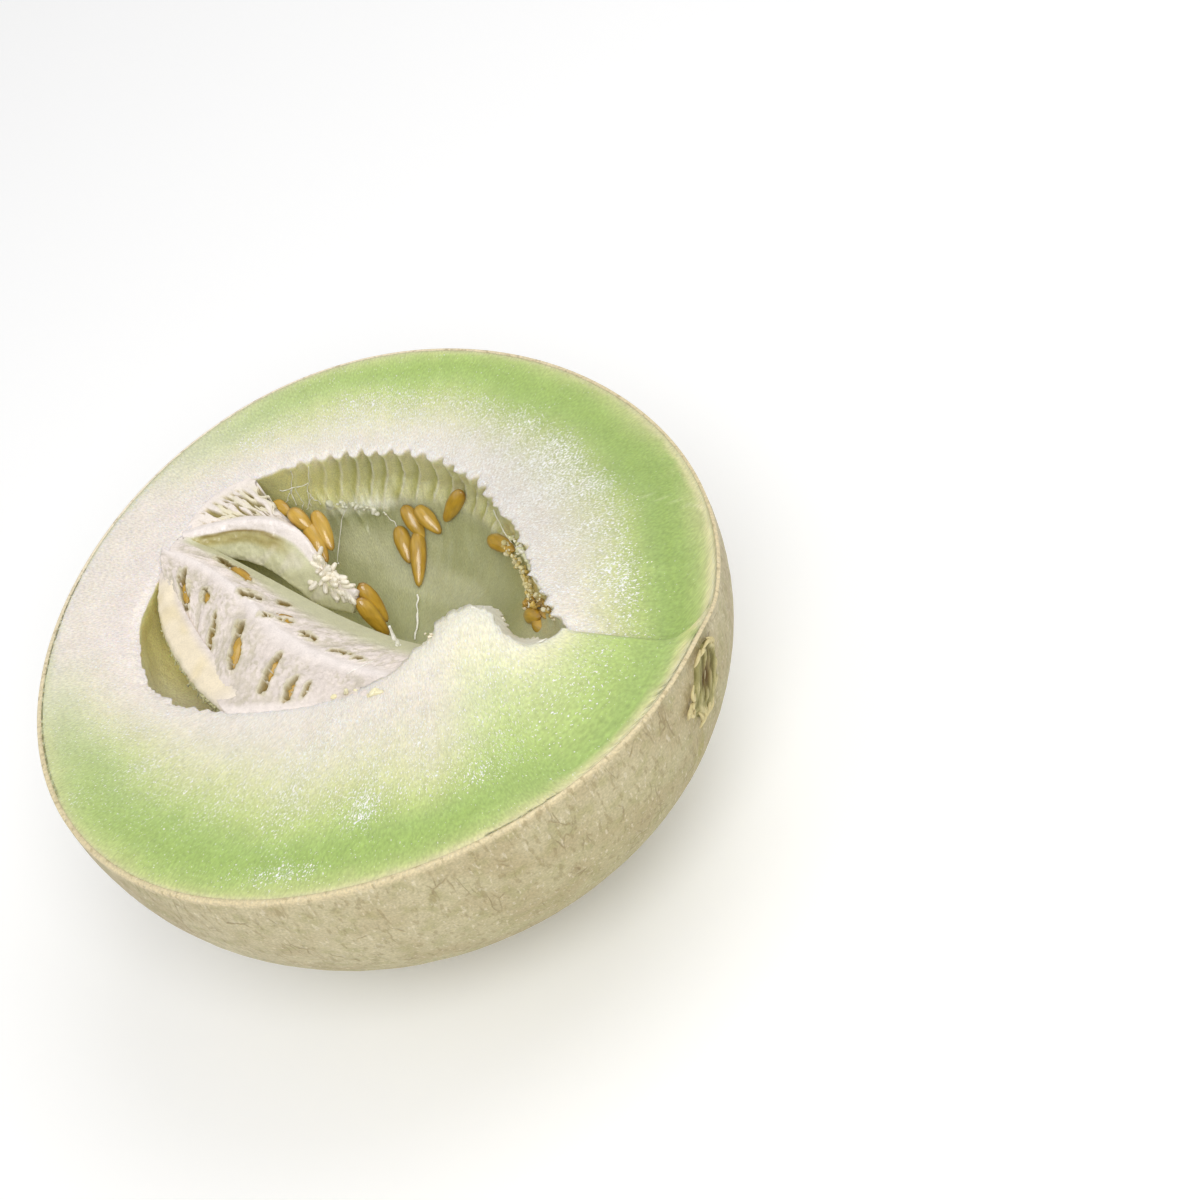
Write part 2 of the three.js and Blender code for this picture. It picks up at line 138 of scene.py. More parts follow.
# Height of the cut: two strokes of the knife that met badly beside the stem end.
def faceHeight(x, y, front):
    toEnd = np.hypot(x - seam["end"][0], y - seam["end"][1])
    tilt = seam["step"] * smooth(-50, 60, x) * (1 - bell(toEnd, seam["endSpread"]))
    lip = (tongue["height"] * bell(x - tongue["at"][0], tongue["spread"])
        * bell(y - tongue["at"][1], tongue["spread"]))
    dip = -seam["dip"] * bell(y - seam["y"], seam["dipSpread"]) * smooth(44, 62, x) * smooth(84, 74, x)
    return np.where(front, tilt + lip, dip)


def beyondRind(x, y, z):
    k = fullness(x)
    u, v, w = (x / melon["halfLength"], y / (melon["halfWidth"] * k),
        (z - middleLevel) / (melon["halfDepth"] * k))
    return u * u + v * v + w * w - 1


def scarDent(x, y, z):
    d = np.hypot(y - scar["y"], z + scar["belowCut"])
    return np.where(x < 0, 0, scar["dent"] * bell(d, scar["dentRadius"]) / melon["halfLength"])


cavity = {
    "round": [
        [51, -4], [44, 4.5], [36.5, 14.5], [25, 29], [9, 42], [-8, 47.8], [-26, 46.5], [-43, 41],
        [-56, 32], [-60.5, 18], [-62, 3], [-60.5, -10], [-50.5, -25.5], [-33, -31],
    ],
    "tongueLip": [
        [-14, -29.5], [2, -25], [12, -18.5], [18.2, -9.5], [20.3, -2.3], [26.5, 1.1], [32.2, -1.6],
        [37, -6.3],
        [44.5, -8.9],
    ],
    "underTongue": [
        [-13, -31], [4, -29], [15, -25.5], [22.5, -21], [28, -17.5], [33, -14.8], [37.5, -13], [42, -12.2],
        [47.5, -9.8],
    ],
    "floor": [-8, 7], "depth": 33, "squareness": 2.7, "endSlope": 1.2, "endSpread": 36, "bulge": 0.05,
}


# Where the rind meets the cut, on rays at these angles from the middle of the cavity's floor.
def rimOfRind(angle, front):
    cx, cy = cavity["floor"]
    near, far = np.zeros_like(angle), np.full_like(angle, 2.0 * melon["halfLength"])
    for _ in range(40):
        r = (near + far) / 2
        x, y = cx + r * np.cos(angle), cy + r * np.sin(angle)
        out = beyondRind(x, y, faceHeight(x, y, front)) > 0
        far, near = np.where(out, r, far), np.where(out, near, r)
    x, y = cx + near * np.cos(angle), cy + near * np.sin(angle)
    return np.stack([x, y, faceHeight(x, y, front)], -1)


# The rind's underside, from share 0 at the bottom to 1 at the cut, on the columns that end at rim.
def rindPoints(rim, share):
    share = np.asarray(share, float)[:, None]
    k = fullness(rim[:, 0])
    longitude = np.arctan2(rim[:, 1] / (melon["halfWidth"] * k), rim[:, 0] / melon["halfLength"])
    top = np.arcsin((rim[:, 2] - middleLevel) / (melon["halfDepth"] * k))
    latitude = -np.pi / 2 + (top + np.pi / 2) * share
    x = melon["halfLength"] * np.cos(latitude) * np.cos(longitude)
    kx = fullness(x)
    y = melon["halfWidth"] * kx * np.cos(latitude) * np.sin(longitude)
    z = middleLevel + melon["halfDepth"] * kx * np.sin(latitude)
    s = 1 - scarDent(x, y, z)
    return np.stack([x * s, y * s, np.maximum(z, -cutLevel)], -1)


flutes = {
    "from": 9, "to": 119, "pitch": 4.314, "depth": 1.7, "height": 16, "ledge": 1.3, "fade": 9, "lean": 0.33,
    "bow": 0.9,
}


# How far each column is from one ridge of the flutes (0) to the next (1).
# Ridges lean and bow on their way down.
def phaseAt(c, down):
    bow = flutes["bow"] * np.sin(np.pi * np.clip(down / flutes["height"], 0, 1))
    u = c["along"] - flutes["lean"] * down + bow
    wander = 0.3 * flatNoise(u / 8, 0 * u, 3) + 0.06 * flatNoise(u / 3, 0 * u + down / 1.5, 5)
    return ((u - flutes["from"] - flutes["pitch"] / 4) / flutes["pitch"] + wander) % 1


# How far into a groove each column is, 0 on a ridge. Grooves start narrow and round, then get one steep side.
def grooveAt(c, down):
    halfWidth = 0.26 + 0.24 * smooth(0, 5, down)
    skewed = phaseAt(c, down) ** (1 - 0.42 * smooth(0, 5, down))
    return np.cos(np.clip(np.abs(skewed - 0.5) / halfWidth, 0, 1) * np.pi / 2) ** 0.8 * c["fluted"]


# The columns of points that run up the rind, across the face and down the cavity's wall.
def makeColumns():
    lipCurve = curveThrough(cavity["round"] + cavity["tongueLip"], True)
    bellyCurve = curveThrough(cavity["round"] + cavity["underTongue"], True)
    shares = np.linspace(0, 1, 201)
    lengths = np.concatenate([[0], np.cumsum(np.linalg.norm(np.diff(lipCurve(shares), axis=0), axis=1))])
    rimLength = lengths[-1]
    besideSeam = np.array([0.03, 0.1, 0.2, 0.35, 0.5, 0.7, 0.9, 1.15])
    middle = np.arange(1.4, rimLength - 1.3, melon["columnSpacing"])
    along = np.concatenate([besideSeam, middle, rimLength - besideSeam[::-1]])
    t = np.interp(along, lengths, shares)
    lip, belly = lipCurve(t), bellyCurve(t)
    front = along > rimLength / 2
    fx, fy = cavity["floor"]
    start = bellyCurve(np.array([0.0]))[0]
    seamAngle = math.atan2(seam["end"][1] - fy, seam["end"][0] - fx)
    seamFrom = math.atan2(start[1] - fy, start[0] - fx)
    out = np.arctan2(belly[:, 1] - fy, belly[:, 0] - fx)
    turn = (out - seamFrom + 3 * np.pi) % (2 * np.pi) - np.pi
    angle = out + (seamAngle - seamFrom) * bell(turn, math.radians(40))
    # the face's lines swing round to reach the tongue from its own side
    back = rimLength - along
    angle = angle - math.radians(tongue["lean"]) * smooth(0, 24, back) * smooth(160, 34, back)
    away = lip - cavity["floor"]
    away /= np.linalg.norm(away, axis=1, keepdims=True)
    c = {"along": along, "lip": lip, "belly": belly, "front": front, "turn": turn, "away": away,
        "rimLength": rimLength}
    ends = smooth(flutes["from"], flutes["from"] + flutes["fade"], along) * smooth(
        flutes["to"], flutes["to"] - flutes["fade"], along)
    c["fluted"] = ends * (0.18 + 0.82 * smooth(44, 58, along))
    c["fluteDepth"] = flutes["depth"] * (1 + 0.35 * flatNoise(along / 5, along * 0, 4))
    c["outer"] = rimOfRind(angle, front)
    c["theta"] = np.degrees(np.arctan2(lip[:, 1] - fy, lip[:, 0] - fx)) % 360
    # how ragged the rim is: most on the tongue, on the flutes' tips and beside the pocket at the blossom end
    onTongue = bell(lip[:, 0] - 24, 14) * bell(lip[:, 1] + 6, 12) * front
    c["around"] = (out - seamFrom) % (2 * np.pi)
    strength = (0.25 + 0.5 * onTongue + 0.2 * c["fluted"] + 0.45 * bell(c["theta"] - 222, 16)
        + 0.5 * bell(along - 25, 22))
    rag = flatNoise(along / 2.1, along * 0 + 5, 11) + 0.6 * flatNoise(along / 0.8, along * 0 + 9, 12)
    strength = strength + 0.45 * bell(along - 30, 20)
    c["rag"] = strength * rag * smooth(0, 3, along) * smooth(0, 3, rimLength - along)
    c["onTongue"] = onTongue
    lipZ = faceHeight(lip[:, 0], lip[:, 1], front)
    tangent = np.gradient(lip, axis=0)
    normal = np.column_stack([tangent[:, 1], -tangent[:, 0]])
    c["normal"] = normal / np.linalg.norm(normal, axis=1, keepdims=True)
    grooved = away * (c["fluteDepth"] * grooveAt(c, 0))[:, None]
    c["inner"] = np.column_stack([lip + grooved, lipZ])
    c["edgeDrop"] = 0.35 + 0.9 * onTongue + 0.8 * bell(angleGap(c["theta"], 206), 30)
    c["rimWidth"] = (rind["thickness"]
        * (1 - 0.45 * bell(angleGap(c["theta"], 12), 45) - 0.4 * bell(angleGap(c["theta"], 130), 60)))
    return c


# How far each point is outside a curve round the cavity, in plan.
def beyond(curve, p):
    out = curve[:, :2] - cavity["floor"]
    q = p[..., :2] - cavity["floor"]
    reach = np.interp(
        np.arctan2(q[..., 1], q[..., 0]), np.arctan2(out[:, 1], out[:, 0]), np.linalg.norm(out, axis=1),
        period=2 * np.pi)
    return np.linalg.norm(q, axis=-1) - reach


# The face, from share 0 at the rind to 1 at the cavity. Near the seam its lines bend to run beside it.
def facePoints(c, share):
    p = c["outer"] * (1 - share[..., None]) + c["inner"] * share[..., None]
    bow = 3 * tongue["bow"] * (1 - share) * share**2
    p[..., :2] += (c["belly"] - c["lip"]) * bow[..., None]
    out = 1 - share
    p[..., 1] -= seam["bend"] * out * (1 - out**14) * bell(c["turn"], math.radians(seam["bendAngle"]))
    # none of them leaves the rind
    tooFar = np.maximum(0, beyond(c["outer"], p) + 1.35 * c["rimWidth"])
    q = p[..., :2] - cavity["floor"]
    p[..., :2] -= q * (tooFar / np.linalg.norm(q, axis=-1))[..., None]
    p[..., 2] = faceHeight(p[..., 0], p[..., 1], c["front"])
    toLip = out * np.linalg.norm(c["outer"] - c["inner"], axis=1)
    p[..., :2] += c["normal"] * (c["rag"] * bell(toLip, 2))[..., None]
    p[..., 2] -= c["edgeDrop"] * bell(toLip, 0.6 + 0.9 * c["edgeDrop"])
    # the front part's edge along the seam is rounded
    fromSeam = (c["rimLength"] - c["along"]) * (1 + 1.5 * out)
    p[..., 2] -= 0.9 * bell(fromSeam, 0.8) * c["front"] * smooth(0.02, 0.1, out) * smooth(1, 0.88, out)
    return p


# The cavity's wall and floor, from share 0 at the rim to 1 at the deepest point.
def wallPoints(c, share):
    fx, fy = cavity["floor"]
    slope = np.asarray(share, float)[:, None] * np.pi / 2
    share = np.asarray(share, float)[:, None]
    power = 2 / (cavity["squareness"]
        - cavity["endSlope"] * bell(c["turn"], math.radians(cavity["endSpread"])))
    down = cavity["depth"] * np.sin(slope) ** power
    belly = 1 + cavity["bulge"] * np.sin(np.minimum(1, share * 2) * np.pi)
    outline = mix(c["lip"], c["belly"], smooth(0.2, 1, down / tongue["thickness"]))
    out = outline - cavity["floor"]
    r = np.linalg.norm(out, axis=-1)
    out = out / r[..., None]
    r = r * np.cos(slope) ** power * belly
    ragHeight = (1 + 0.12 * flatNoise(c["along"] / 2.3, c["along"] * 0 + 2, 21)
        + 0.08 * flatNoise(c["along"] / 0.8, c["along"] * 0 + 7, 22))
    r = r + c["fluteDepth"] * grooveAt(c, down) * (1 - smooth(0.7, 1, down / (flutes["height"] * ragHeight)))
    ledge = flutes["ledge"] * (1 + 0.6 * flatNoise(c["along"] / 1.1, c["along"] * 0 + 4, 23))
    ledge = ledge * (0.25 + bell(c["theta"] - 116, 14))
    r = r - ledge * c["fluted"] * bell(down - flutes["height"] * ragHeight - 1, 2.2)
    point = np.stack([fx + out[..., 0] * r, fy + out[..., 1] * r], -1)
    point = point + c["normal"] * (c["rag"] * (1 - smooth(0, 1, down / 2.5)))[..., None]
    top = faceHeight(c["lip"][:, 0], c["lip"][:, 1], c["front"])
    z = top - down * (1 + top / cavity["depth"]) - c["edgeDrop"] * (1 - smooth(0, 1, down / 1.4))
    point = np.concatenate([point, z[..., None]], -1)
    # soft unevenness of the wall and floor
    lift = (0.35 * noiseAt(point, 7, 31) * smooth(2, 8, down)
        + 0.12 * noiseAt(point, 1.6, 32) * smooth(0.3, 3, down))
    # irregular swellings on the wall at the stem end
    swollen = bell(angleGap(c["theta"], 34), 24) * smooth(0.8, 3, down) * smooth(15, 8, down)
    lift = lift + 1.5 * smooth(-0.2, 0.6, noiseAt(point, 2.6, 33)) * swollen
    point[..., 2] += lift * np.sin(slope)
    point[..., :2] -= (out * (lift * np.cos(slope))[..., None])
    return point, down * np.ones_like(point[..., 0])


# Faces between rings of points that share their columns, and between each end ring and a point beyond it.
def ringFaces(rings, columns, first=None, last=None):
    i = np.arange(columns)
    j = (i + 1) % columns
    faces = []
    for r in range(rings - 1):
        a, b = r * columns, (r + 1) * columns
        faces += np.stack([a + i, a + j, b + j, b + i], -1).tolist()
    if first is not None:
        faces += np.stack([np.full(columns, first), j, i], -1).tolist()
    if last is not None:
        e = (rings - 1) * columns
        faces += np.stack([np.full(columns, last), e + i, e + j], -1).tolist()
    return faces


# Makes a piece of the melon from points in the cut's frame.
def makePiece(name, points, faces, material, node, colours=None, values=None):
    mesh = bpy.data.meshes.new(name)
    world = (np.asarray(points, float).reshape(-1, 3) + [0, 0, cutLevel]) / 1000
    mesh.from_pydata(world.tolist(), [], faces)
    mesh.validate()
    if colours is not None:
        paint = mesh.attributes.new("paint", "FLOAT_COLOR", "POINT")
        rgb = light(np.asarray(colours, float).reshape(-1, 3))
        paint.data.foreach_set("color", np.column_stack([rgb, np.ones(len(rgb))]).astype(np.float32).ravel())
    for key, value in (values or {}).items():
        value = np.asarray(value, np.float32)
        if value.shape[-1:] == (3,):
            mesh.attributes.new(key, "FLOAT_VECTOR", "POINT").data.foreach_set("vector", value.ravel())
        else:
            mesh.attributes.new(key, "FLOAT", "POINT").data.foreach_set("value", value.ravel())
    mesh.materials.append(material)
    mesh.polygons.foreach_set("use_smooth", [True] * len(mesh.polygons))
    mesh.update()
    piece = bpy.data.objects.new(name, mesh)
    bpy.context.scene.collection.objects.link(piece)
    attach(piece, "root")
    if node:
        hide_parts(node)
    print("made", name, "with", sum(len(f) - 2 for f in faces), "triangles")
    return piece


# Adds a node. A value that is another node's output is linked, any other is set on the socket.
def addNode(tree, kind, settings=None, inputs=None):
    made = tree.nodes.new(kind)
    for key, value in (settings or {}).items():
        setattr(made, key, value)
    for key, value in (inputs or {}).items():
        if isinstance(value, bpy.types.NodeSocket):
            tree.links.new(value, made.inputs[key])
        else:
            made.inputs[key].default_value = value
    return made


def maths(tree, operation, a, b=0.0, clamp=False):
    return addNode(tree, "ShaderNodeMath", {"operation": operation, "use_clamp": clamp},
        {0: a, 1: b}).outputs[0]


def plus(tree, a, b):
    return maths(tree, "ADD", a, b)


def minus(tree, a, b, clamp=False):
    return maths(tree, "SUBTRACT", a, b, clamp)


def times(tree, a, b, clamp=False):
    return maths(tree, "MULTIPLY", a, b, clamp)


def greater(tree, a, b):
    return maths(tree, "MAXIMUM", a, b)


def vectorMaths(tree, operation, inputs):
    return addNode(tree, "ShaderNodeVectorMath", {"operation": operation}, inputs).outputs[0]


def blendColours(tree, factor, a, b):
    return addNode(tree, "ShaderNodeMix", {"data_type": "RGBA"}, {0: factor, 6: a, 7: b}).outputs[2]


def stretched(tree, value, low, high):
    settings = {"interpolation_type": "SMOOTHSTEP"}
    made = addNode(tree, "ShaderNodeMapRange", settings, {"Value": value, "From Min": low, "From Max": high})
    return made.outputs["Result"]


def newGroup(name, inputs, outputs):
    tree = bpy.data.node_groups.new(name, "ShaderNodeTree")
    for way, sockets in (("INPUT", inputs), ("OUTPUT", outputs)):
        for label, kind, value in sockets:
            made = tree.interface.new_socket(label, in_out=way, socket_type="NodeSocket" + kind)
            if value is not None:
                made.default_value = value
    return tree, tree.nodes.new("NodeGroupInput"), tree.nodes.new("NodeGroupOutput")


# The outputs of a noise whose scale may come from another node.
def noiseIn(tree, vector, scale, detail, more=None):
    inputs = {"Vector": vector, "Scale": scale, "Detail": detail, **(more or {})}
    return addNode(tree, "ShaderNodeTexNoise", None, inputs).outputs


# Painted highlights: small glints on the cut flesh, short and wriggling, more of them where Cover is larger.
def makeGlints():
    sockets = [("Vector", "Vector", None), ("Size", "Float", 0.6), ("Cover", "Float", 0.5)]
    tree, given, result = newGroup("paintedGlints", sockets, [("Mask", "Float", None)])
    place = given.outputs["Vector"]
    scale = maths(tree, "DIVIDE", 1000.0, given.outputs["Size"])
    cells = noiseIn(tree, place, scale, 1.0, {"Roughness": 0.6, "Distortion": 0.5})["Fac"]
    patches = noiseIn(tree, place, 110.0, 2.0)["Fac"]
    cover = plus(tree, given.outputs["Cover"], times(tree, minus(tree, patches, 0.5), 0.75))
    limit = minus(tree, 0.76, times(tree, cover, 0.2))
    dots = times(tree, minus(tree, cells, limit), 22.0, True)
    # painted glints as wriggling lines where a coarser noise crosses its middle, only in the wettest patches
    coarse = noiseIn(tree, place, times(tree, scale, 0.42), 2.0, {"Distortion": 0.8})["Fac"]
    offset = maths(tree, "ABSOLUTE", minus(tree, coarse, 0.5))
    line = minus(tree, 1.0, maths(tree, "DIVIDE", offset, 0.014), True)
    gate = noiseIn(tree, place, times(tree, scale, 0.12), 2.0)["Fac"]
    wet = stretched(tree, plus(tree, gate, times(tree, cover, 0.3)), 0.72, 0.92)
    tree.links.new(greater(tree, dots, times(tree, line, wet)), result.inputs["Mask"])
    return tree


# Thin broken lines like the fine netting of a rind.
def makeCracks():
    sockets = [
        ("Vector", "Vector", None), ("Size", "Float", 8.0), ("Width", "Float", 0.03), ("Cover", "Float", 0.5),
    ]
    tree, given, result = newGroup("fineCracks", sockets, [("Mask", "Float", None)])
    place = given.outputs["Vector"]
    warp = noiseIn(tree, place, 120.0, 3.0)["Color"]
    centred = vectorMaths(tree, "SUBTRACT", {0: warp, 1: (0.5, 0.5, 0.5)})
    shift = vectorMaths(tree, "SCALE", {0: centred, "Scale": 0.009})
    moved = vectorMaths(tree, "ADD", {0: place, 1: shift})
    scale = maths(tree, "DIVIDE", 1000.0, given.outputs["Size"])
    settings = {"feature": "DISTANCE_TO_EDGE", "voronoi_dimensions": "3D"}
    cells = addNode(tree, "ShaderNodeTexVoronoi", settings, {"Vector": moved, "Scale": scale})
    distance = maths(tree, "DIVIDE", cells.outputs["Distance"], given.outputs["Width"])
    line = minus(tree, 1.0, distance, True)
    breaks = noiseIn(tree, place, 150.0, 2.0)["Fac"]
    kept = stretched(tree, plus(tree, breaks, given.outputs["Cover"]), 0.95, 1.1)
    tree.links.new(times(tree, line, kept), result.inputs["Mask"])
    return tree


# Uneven darker and lighter patches around a colour.
def makeMottle():
    sockets = [
        ("Color", "Color", None), ("Vector", "Vector", None),
        ("Size", "Float", 5.0), ("Amount", "Float", 0.1),
    ]
    tree, given, result = newGroup("mottle", sockets, [("Color", "Color", None)])
    scale = maths(tree, "DIVIDE", 1000.0, given.outputs["Size"])
    cloud = noiseIn(tree, given.outputs["Vector"], scale, 5.0)["Fac"]
    swing = times(tree, minus(tree, cloud, 0.5), given.outputs["Amount"])
    strength = plus(tree, times(tree, swing, 4.0), 1.0)
    scaled = vectorMaths(tree, "SCALE", {0: given.outputs["Color"], "Scale": strength})
    tree.links.new(scaled, result.inputs["Color"])
    return tree


groups = {"glints": makeGlints(), "cracks": makeCracks(), "mottle": makeMottle()}


def useGroup(tree, name, inputs):
    made = tree.nodes.new("ShaderNodeGroup")
    made.node_tree = groups[name]
    for key, value in inputs.items():
        if isinstance(value, bpy.types.NodeSocket):
            tree.links.new(value, made.inputs[key])
        else:
            made.inputs[key].default_value = value
    return made


def attribute(tree, name):
    return addNode(tree, "ShaderNodeAttribute", {"attribute_name": name})


def newMaterial(name, shine):
    made = bpy.data.materials.new(name)
    made.use_nodes = True
    tree = made.node_tree
    shader = tree.nodes["Principled BSDF"]
    for key, value in shine.items():
        shader.inputs[key].default_value = value
    place = addNode(tree, "ShaderNodeTexCoord").outputs["Object"]
    return made, tree, shader, place


def bumpOf(tree, height, distance, strength=1.0):
    inputs = {"Height": height, "Distance": distance / 1000, "Strength": strength}
    return addNode(tree, "ShaderNodeBump", None, inputs).outputs["Normal"]


def noiseNode(tree, place, size, detail=3.0):
    return addNode(tree, "ShaderNodeTexNoise", None,
        {"Vector": place, "Scale": 1000.0 / size, "Detail": detail}).outputs["Fac"]


def fleshMaterial():
    shine = {
        "Roughness": 0.38, "Coat Weight": 0.35, "Coat Roughness": 0.12, "IOR": 1.4,
        "Subsurface Weight": 0.4, "Subsurface Radius": (1.0, 0.85, 0.5), "Subsurface Scale": 0.004,
    }
    made, tree, shader, place = newMaterial("cut_flesh", shine)
    paint = attribute(tree, "paint").outputs["Color"]
    grain = attribute(tree, "grain").outputs["Vector"]
    wet = attribute(tree, "wet").outputs["Fac"]
    patchy = useGroup(tree, "mottle",
        {"Color": paint, "Vector": place, "Size": 6.0, "Amount": 0.06}).outputs[0]
    fine = useGroup(tree, "mottle", {"Color": patchy, "Vector": grain, "Size": 0.4, "Amount": 0.2}).outputs[0]
    # painted highlights: white glints mixed into the flesh's colour, which also make it smoother and raised
    # there
    small = useGroup(tree, "glints", {"Vector": grain, "Size": 0.27, "Cover": wet}).outputs[0]
    rarer = minus(tree, wet, 0.5)
    large = useGroup(tree, "glints", {"Vector": grain, "Size": 0.55, "Cover": rarer}).outputs[0]
    shown = stretched(tree, wet, 0.0, 0.25)
    glintMask = times(tree, greater(tree, small, large), shown)
    bright = blendColours(tree, glintMask, fine, (*light(face["glint"]), 1))
    tree.links.new(bright, shader.inputs["Base Color"])
    rough = noiseNode(tree, grain, 0.6, 4.0)
    dull = plus(tree, times(tree, rough, 0.35), 0.2)
    tree.links.new(minus(tree, dull, times(tree, glintMask, 0.25)), shader.inputs["Roughness"])
    height = plus(tree, rough, times(tree, glintMask, 0.6))
    tree.links.new(bumpOf(tree, height, 0.22, 0.7), shader.inputs["Normal"])
    return made


def rindMaterial():
    made, tree, shader, place = newMaterial("rind", {"Roughness": 0.55, "IOR": 1.45})
    paint = attribute(tree, "paint").outputs["Color"]
    away = attribute(tree, "awayFromEdge").outputs["Fac"]
    upright = vectorMaths(tree, "MULTIPLY", {0: place, 1: (1, 1, 0.35)})
    patches = stretched(tree, noiseNode(tree, place, 14.0, 4.0), 0.4, 0.62)
    blotches = stretched(tree, noiseNode(tree, place, 4.5, 4.0), 0.45, 0.7)
    streaks = stretched(tree, noiseNode(tree, upright, 1.5, 5.0), 0.55, 0.66)
    flecks = stretched(tree, noiseNode(tree, upright, 0.9, 4.0), 0.58, 0.7)
    toTan = times(tree, times(tree, patches, 0.55), away)
    tan = blendColours(tree, toTan, paint, (*light(rind["tan"]), 1))
    toOlive = times(tree, times(tree, blotches, 0.5), away)
    mottled = blendColours(tree, toOlive, tan, (*light(rind["olive"]), 1))
    pale = blendColours(tree, times(tree, flecks, 0.55), mottled, (*light(rind["fleck"]), 1))
    wide = useGroup(tree, "cracks", {"Vector": place, "Size": 13.0, "Width": 0.035, "Cover": 0.4}).outputs[0]
    netting = {"Vector": upright, "Size": 3.6, "Width": 0.07, "Cover": 0.42}
    narrow = useGroup(tree, "cracks", netting).outputs[0]
    lines = times(tree, greater(tree, wide, times(tree, narrow, 0.8)), away)
    marks = greater(tree, times(tree, lines, 0.8), times(tree, streaks, 0.4))
    lined = blendColours(tree, marks, pale, (*light(rind["crack"]), 1))
    fine = useGroup(tree, "mottle", {"Color": lined, "Vector": place, "Size": 0.6, "Amount": 0.2}).outputs[0]
    tree.links.new(fine, shader.inputs["Base Color"])
    height = minus(tree, times(tree, noiseNode(tree, place, 0.8, 4.0), 0.5), lines)
    tree.links.new(bumpOf(tree, height, 0.25, 0.6), shader.inputs["Normal"])
    return made


def pulpMaterial(name, roughness, coat, bump):
    made, tree, shader, place = newMaterial(name,
        {"Roughness": roughness, "Coat Weight": coat, "Coat Roughness": 0.15})
    paint = attribute(tree, "paint").outputs["Color"]
    patchy = useGroup(tree, "mottle",
        {"Color": paint, "Vector": place, "Size": 2.5, "Amount": 0.08}).outputs[0]
    fine = useGroup(tree, "mottle",
        {"Color": patchy, "Vector": place, "Size": 0.4, "Amount": 0.08}).outputs[0]
    tree.links.new(fine, shader.inputs["Base Color"])
    tree.links.new(bumpOf(tree, noiseNode(tree, place, 0.5, 4.0), bump, 0.7), shader.inputs["Normal"])
    return made


def seedMaterial():
    shine = {"Roughness": 0.32, "Coat Weight": 0.7, "Coat Roughness": 0.08}
    made, tree, shader = newMaterial("seed", shine)[:3]
    paint = attribute(tree, "paint").outputs["Color"]
    grain = attribute(tree, "grain").outputs["Vector"]
    streaky = {"Color": paint, "Vector": grain, "Size": 0.8, "Amount": 0.2}
    tree.links.new(useGroup(tree, "mottle", streaky).outputs[0], shader.inputs["Base Color"])
    tree.links.new(bumpOf(tree, noiseNode(tree, grain, 0.7, 3.0), 0.25, 0.8), shader.inputs["Normal"])
    return made


def plainMaterial(name, colour, roughness):
    return newMaterial(name, {"Roughness": roughness, "Base Color": (*light(colour), 1)})[0]


def rampOf(places, colours, v):
    return np.stack([np.interp(v, places, np.array(colours, float)[:, k]) for k in range(3)], -1)


def angleGap(a, b):
    return (a - b + 180) % 360 - 180


face = {
    # colours from the rind (0) to the cavity (1)
    "places": [0, 0.05, 0.11, 0.2, 0.29, 0.42, 0.56, 0.7, 0.84, 1],
    "colours": [
        [214, 212, 160], [194, 205, 136], [172, 195, 114], [165, 190, 106], [171, 195, 116], [192, 207, 134],
        [210, 214, 158], [225, 222, 188], [233, 225, 208], [239, 230, 218],
    ],
    "paleColour": [239, 228, 220], "paleAngle": 181, "paleSpread": 44,
    # the front beside the seam is greener up to the cavity
    "seamPlaces": [0, 0.05, 0.2, 0.4, 0.56, 0.7, 0.82, 0.92, 1],
    "seamColours": [
        [208, 208, 155], [190, 203, 134], [172, 196, 116], [175, 198, 118], [185, 205, 128], [201, 214, 148],
        [221, 225, 182], [238, 232, 204], [244, 238, 218],
    ],
    # close beside the seam the front is pale green
    "nextPlaces": [0.3, 0.5, 0.75, 0.9, 1],
    "nextColours": [[174, 197, 116], [182, 203, 124], [204, 216, 150], [228, 229, 180], [240, 236, 206]],
    # a cream band follows the rind
    "rimCream": [222, 214, 166],
    "warmFrom": 328, "warmTo": 352,
    "tongueEdge": [248, 243, 222], "tongueLeft": [240, 226, 208], "endCream": [226, 216, 158],
    # the colour of the painted shade in the seam's crease
    "seamShade": [150, 152, 88],
    # a green spot, then the colour of the painted glints
    "greenSpot": [146, 172, 84], "glint": [255, 255, 250],
}
wall = {
    # the flutes' hollows, their painted shade, their ridges
    "groove": [222, 220, 172], "grooveShade": [186, 184, 114], "ridge": [244, 241, 222],
    "ledge": [240, 239, 222],
    # the pocket's two colours are partly painted light
    "floor": [171, 173, 124], "glow": [206, 206, 168], "pocketTop": [255, 242, 166],
    "pocketLow": [255, 250, 232],
    # the painted light behind the sponge, the wall under the tongue, amber tissue
    "litBehindSponge": [250, 244, 178], "tongueUnder": [232, 230, 200], "amber": [216, 182, 96],
    "right": [218, 218, 174],
    # a paler band lies across the floor
    "band": [[-37, 42], [6, 27]],
}


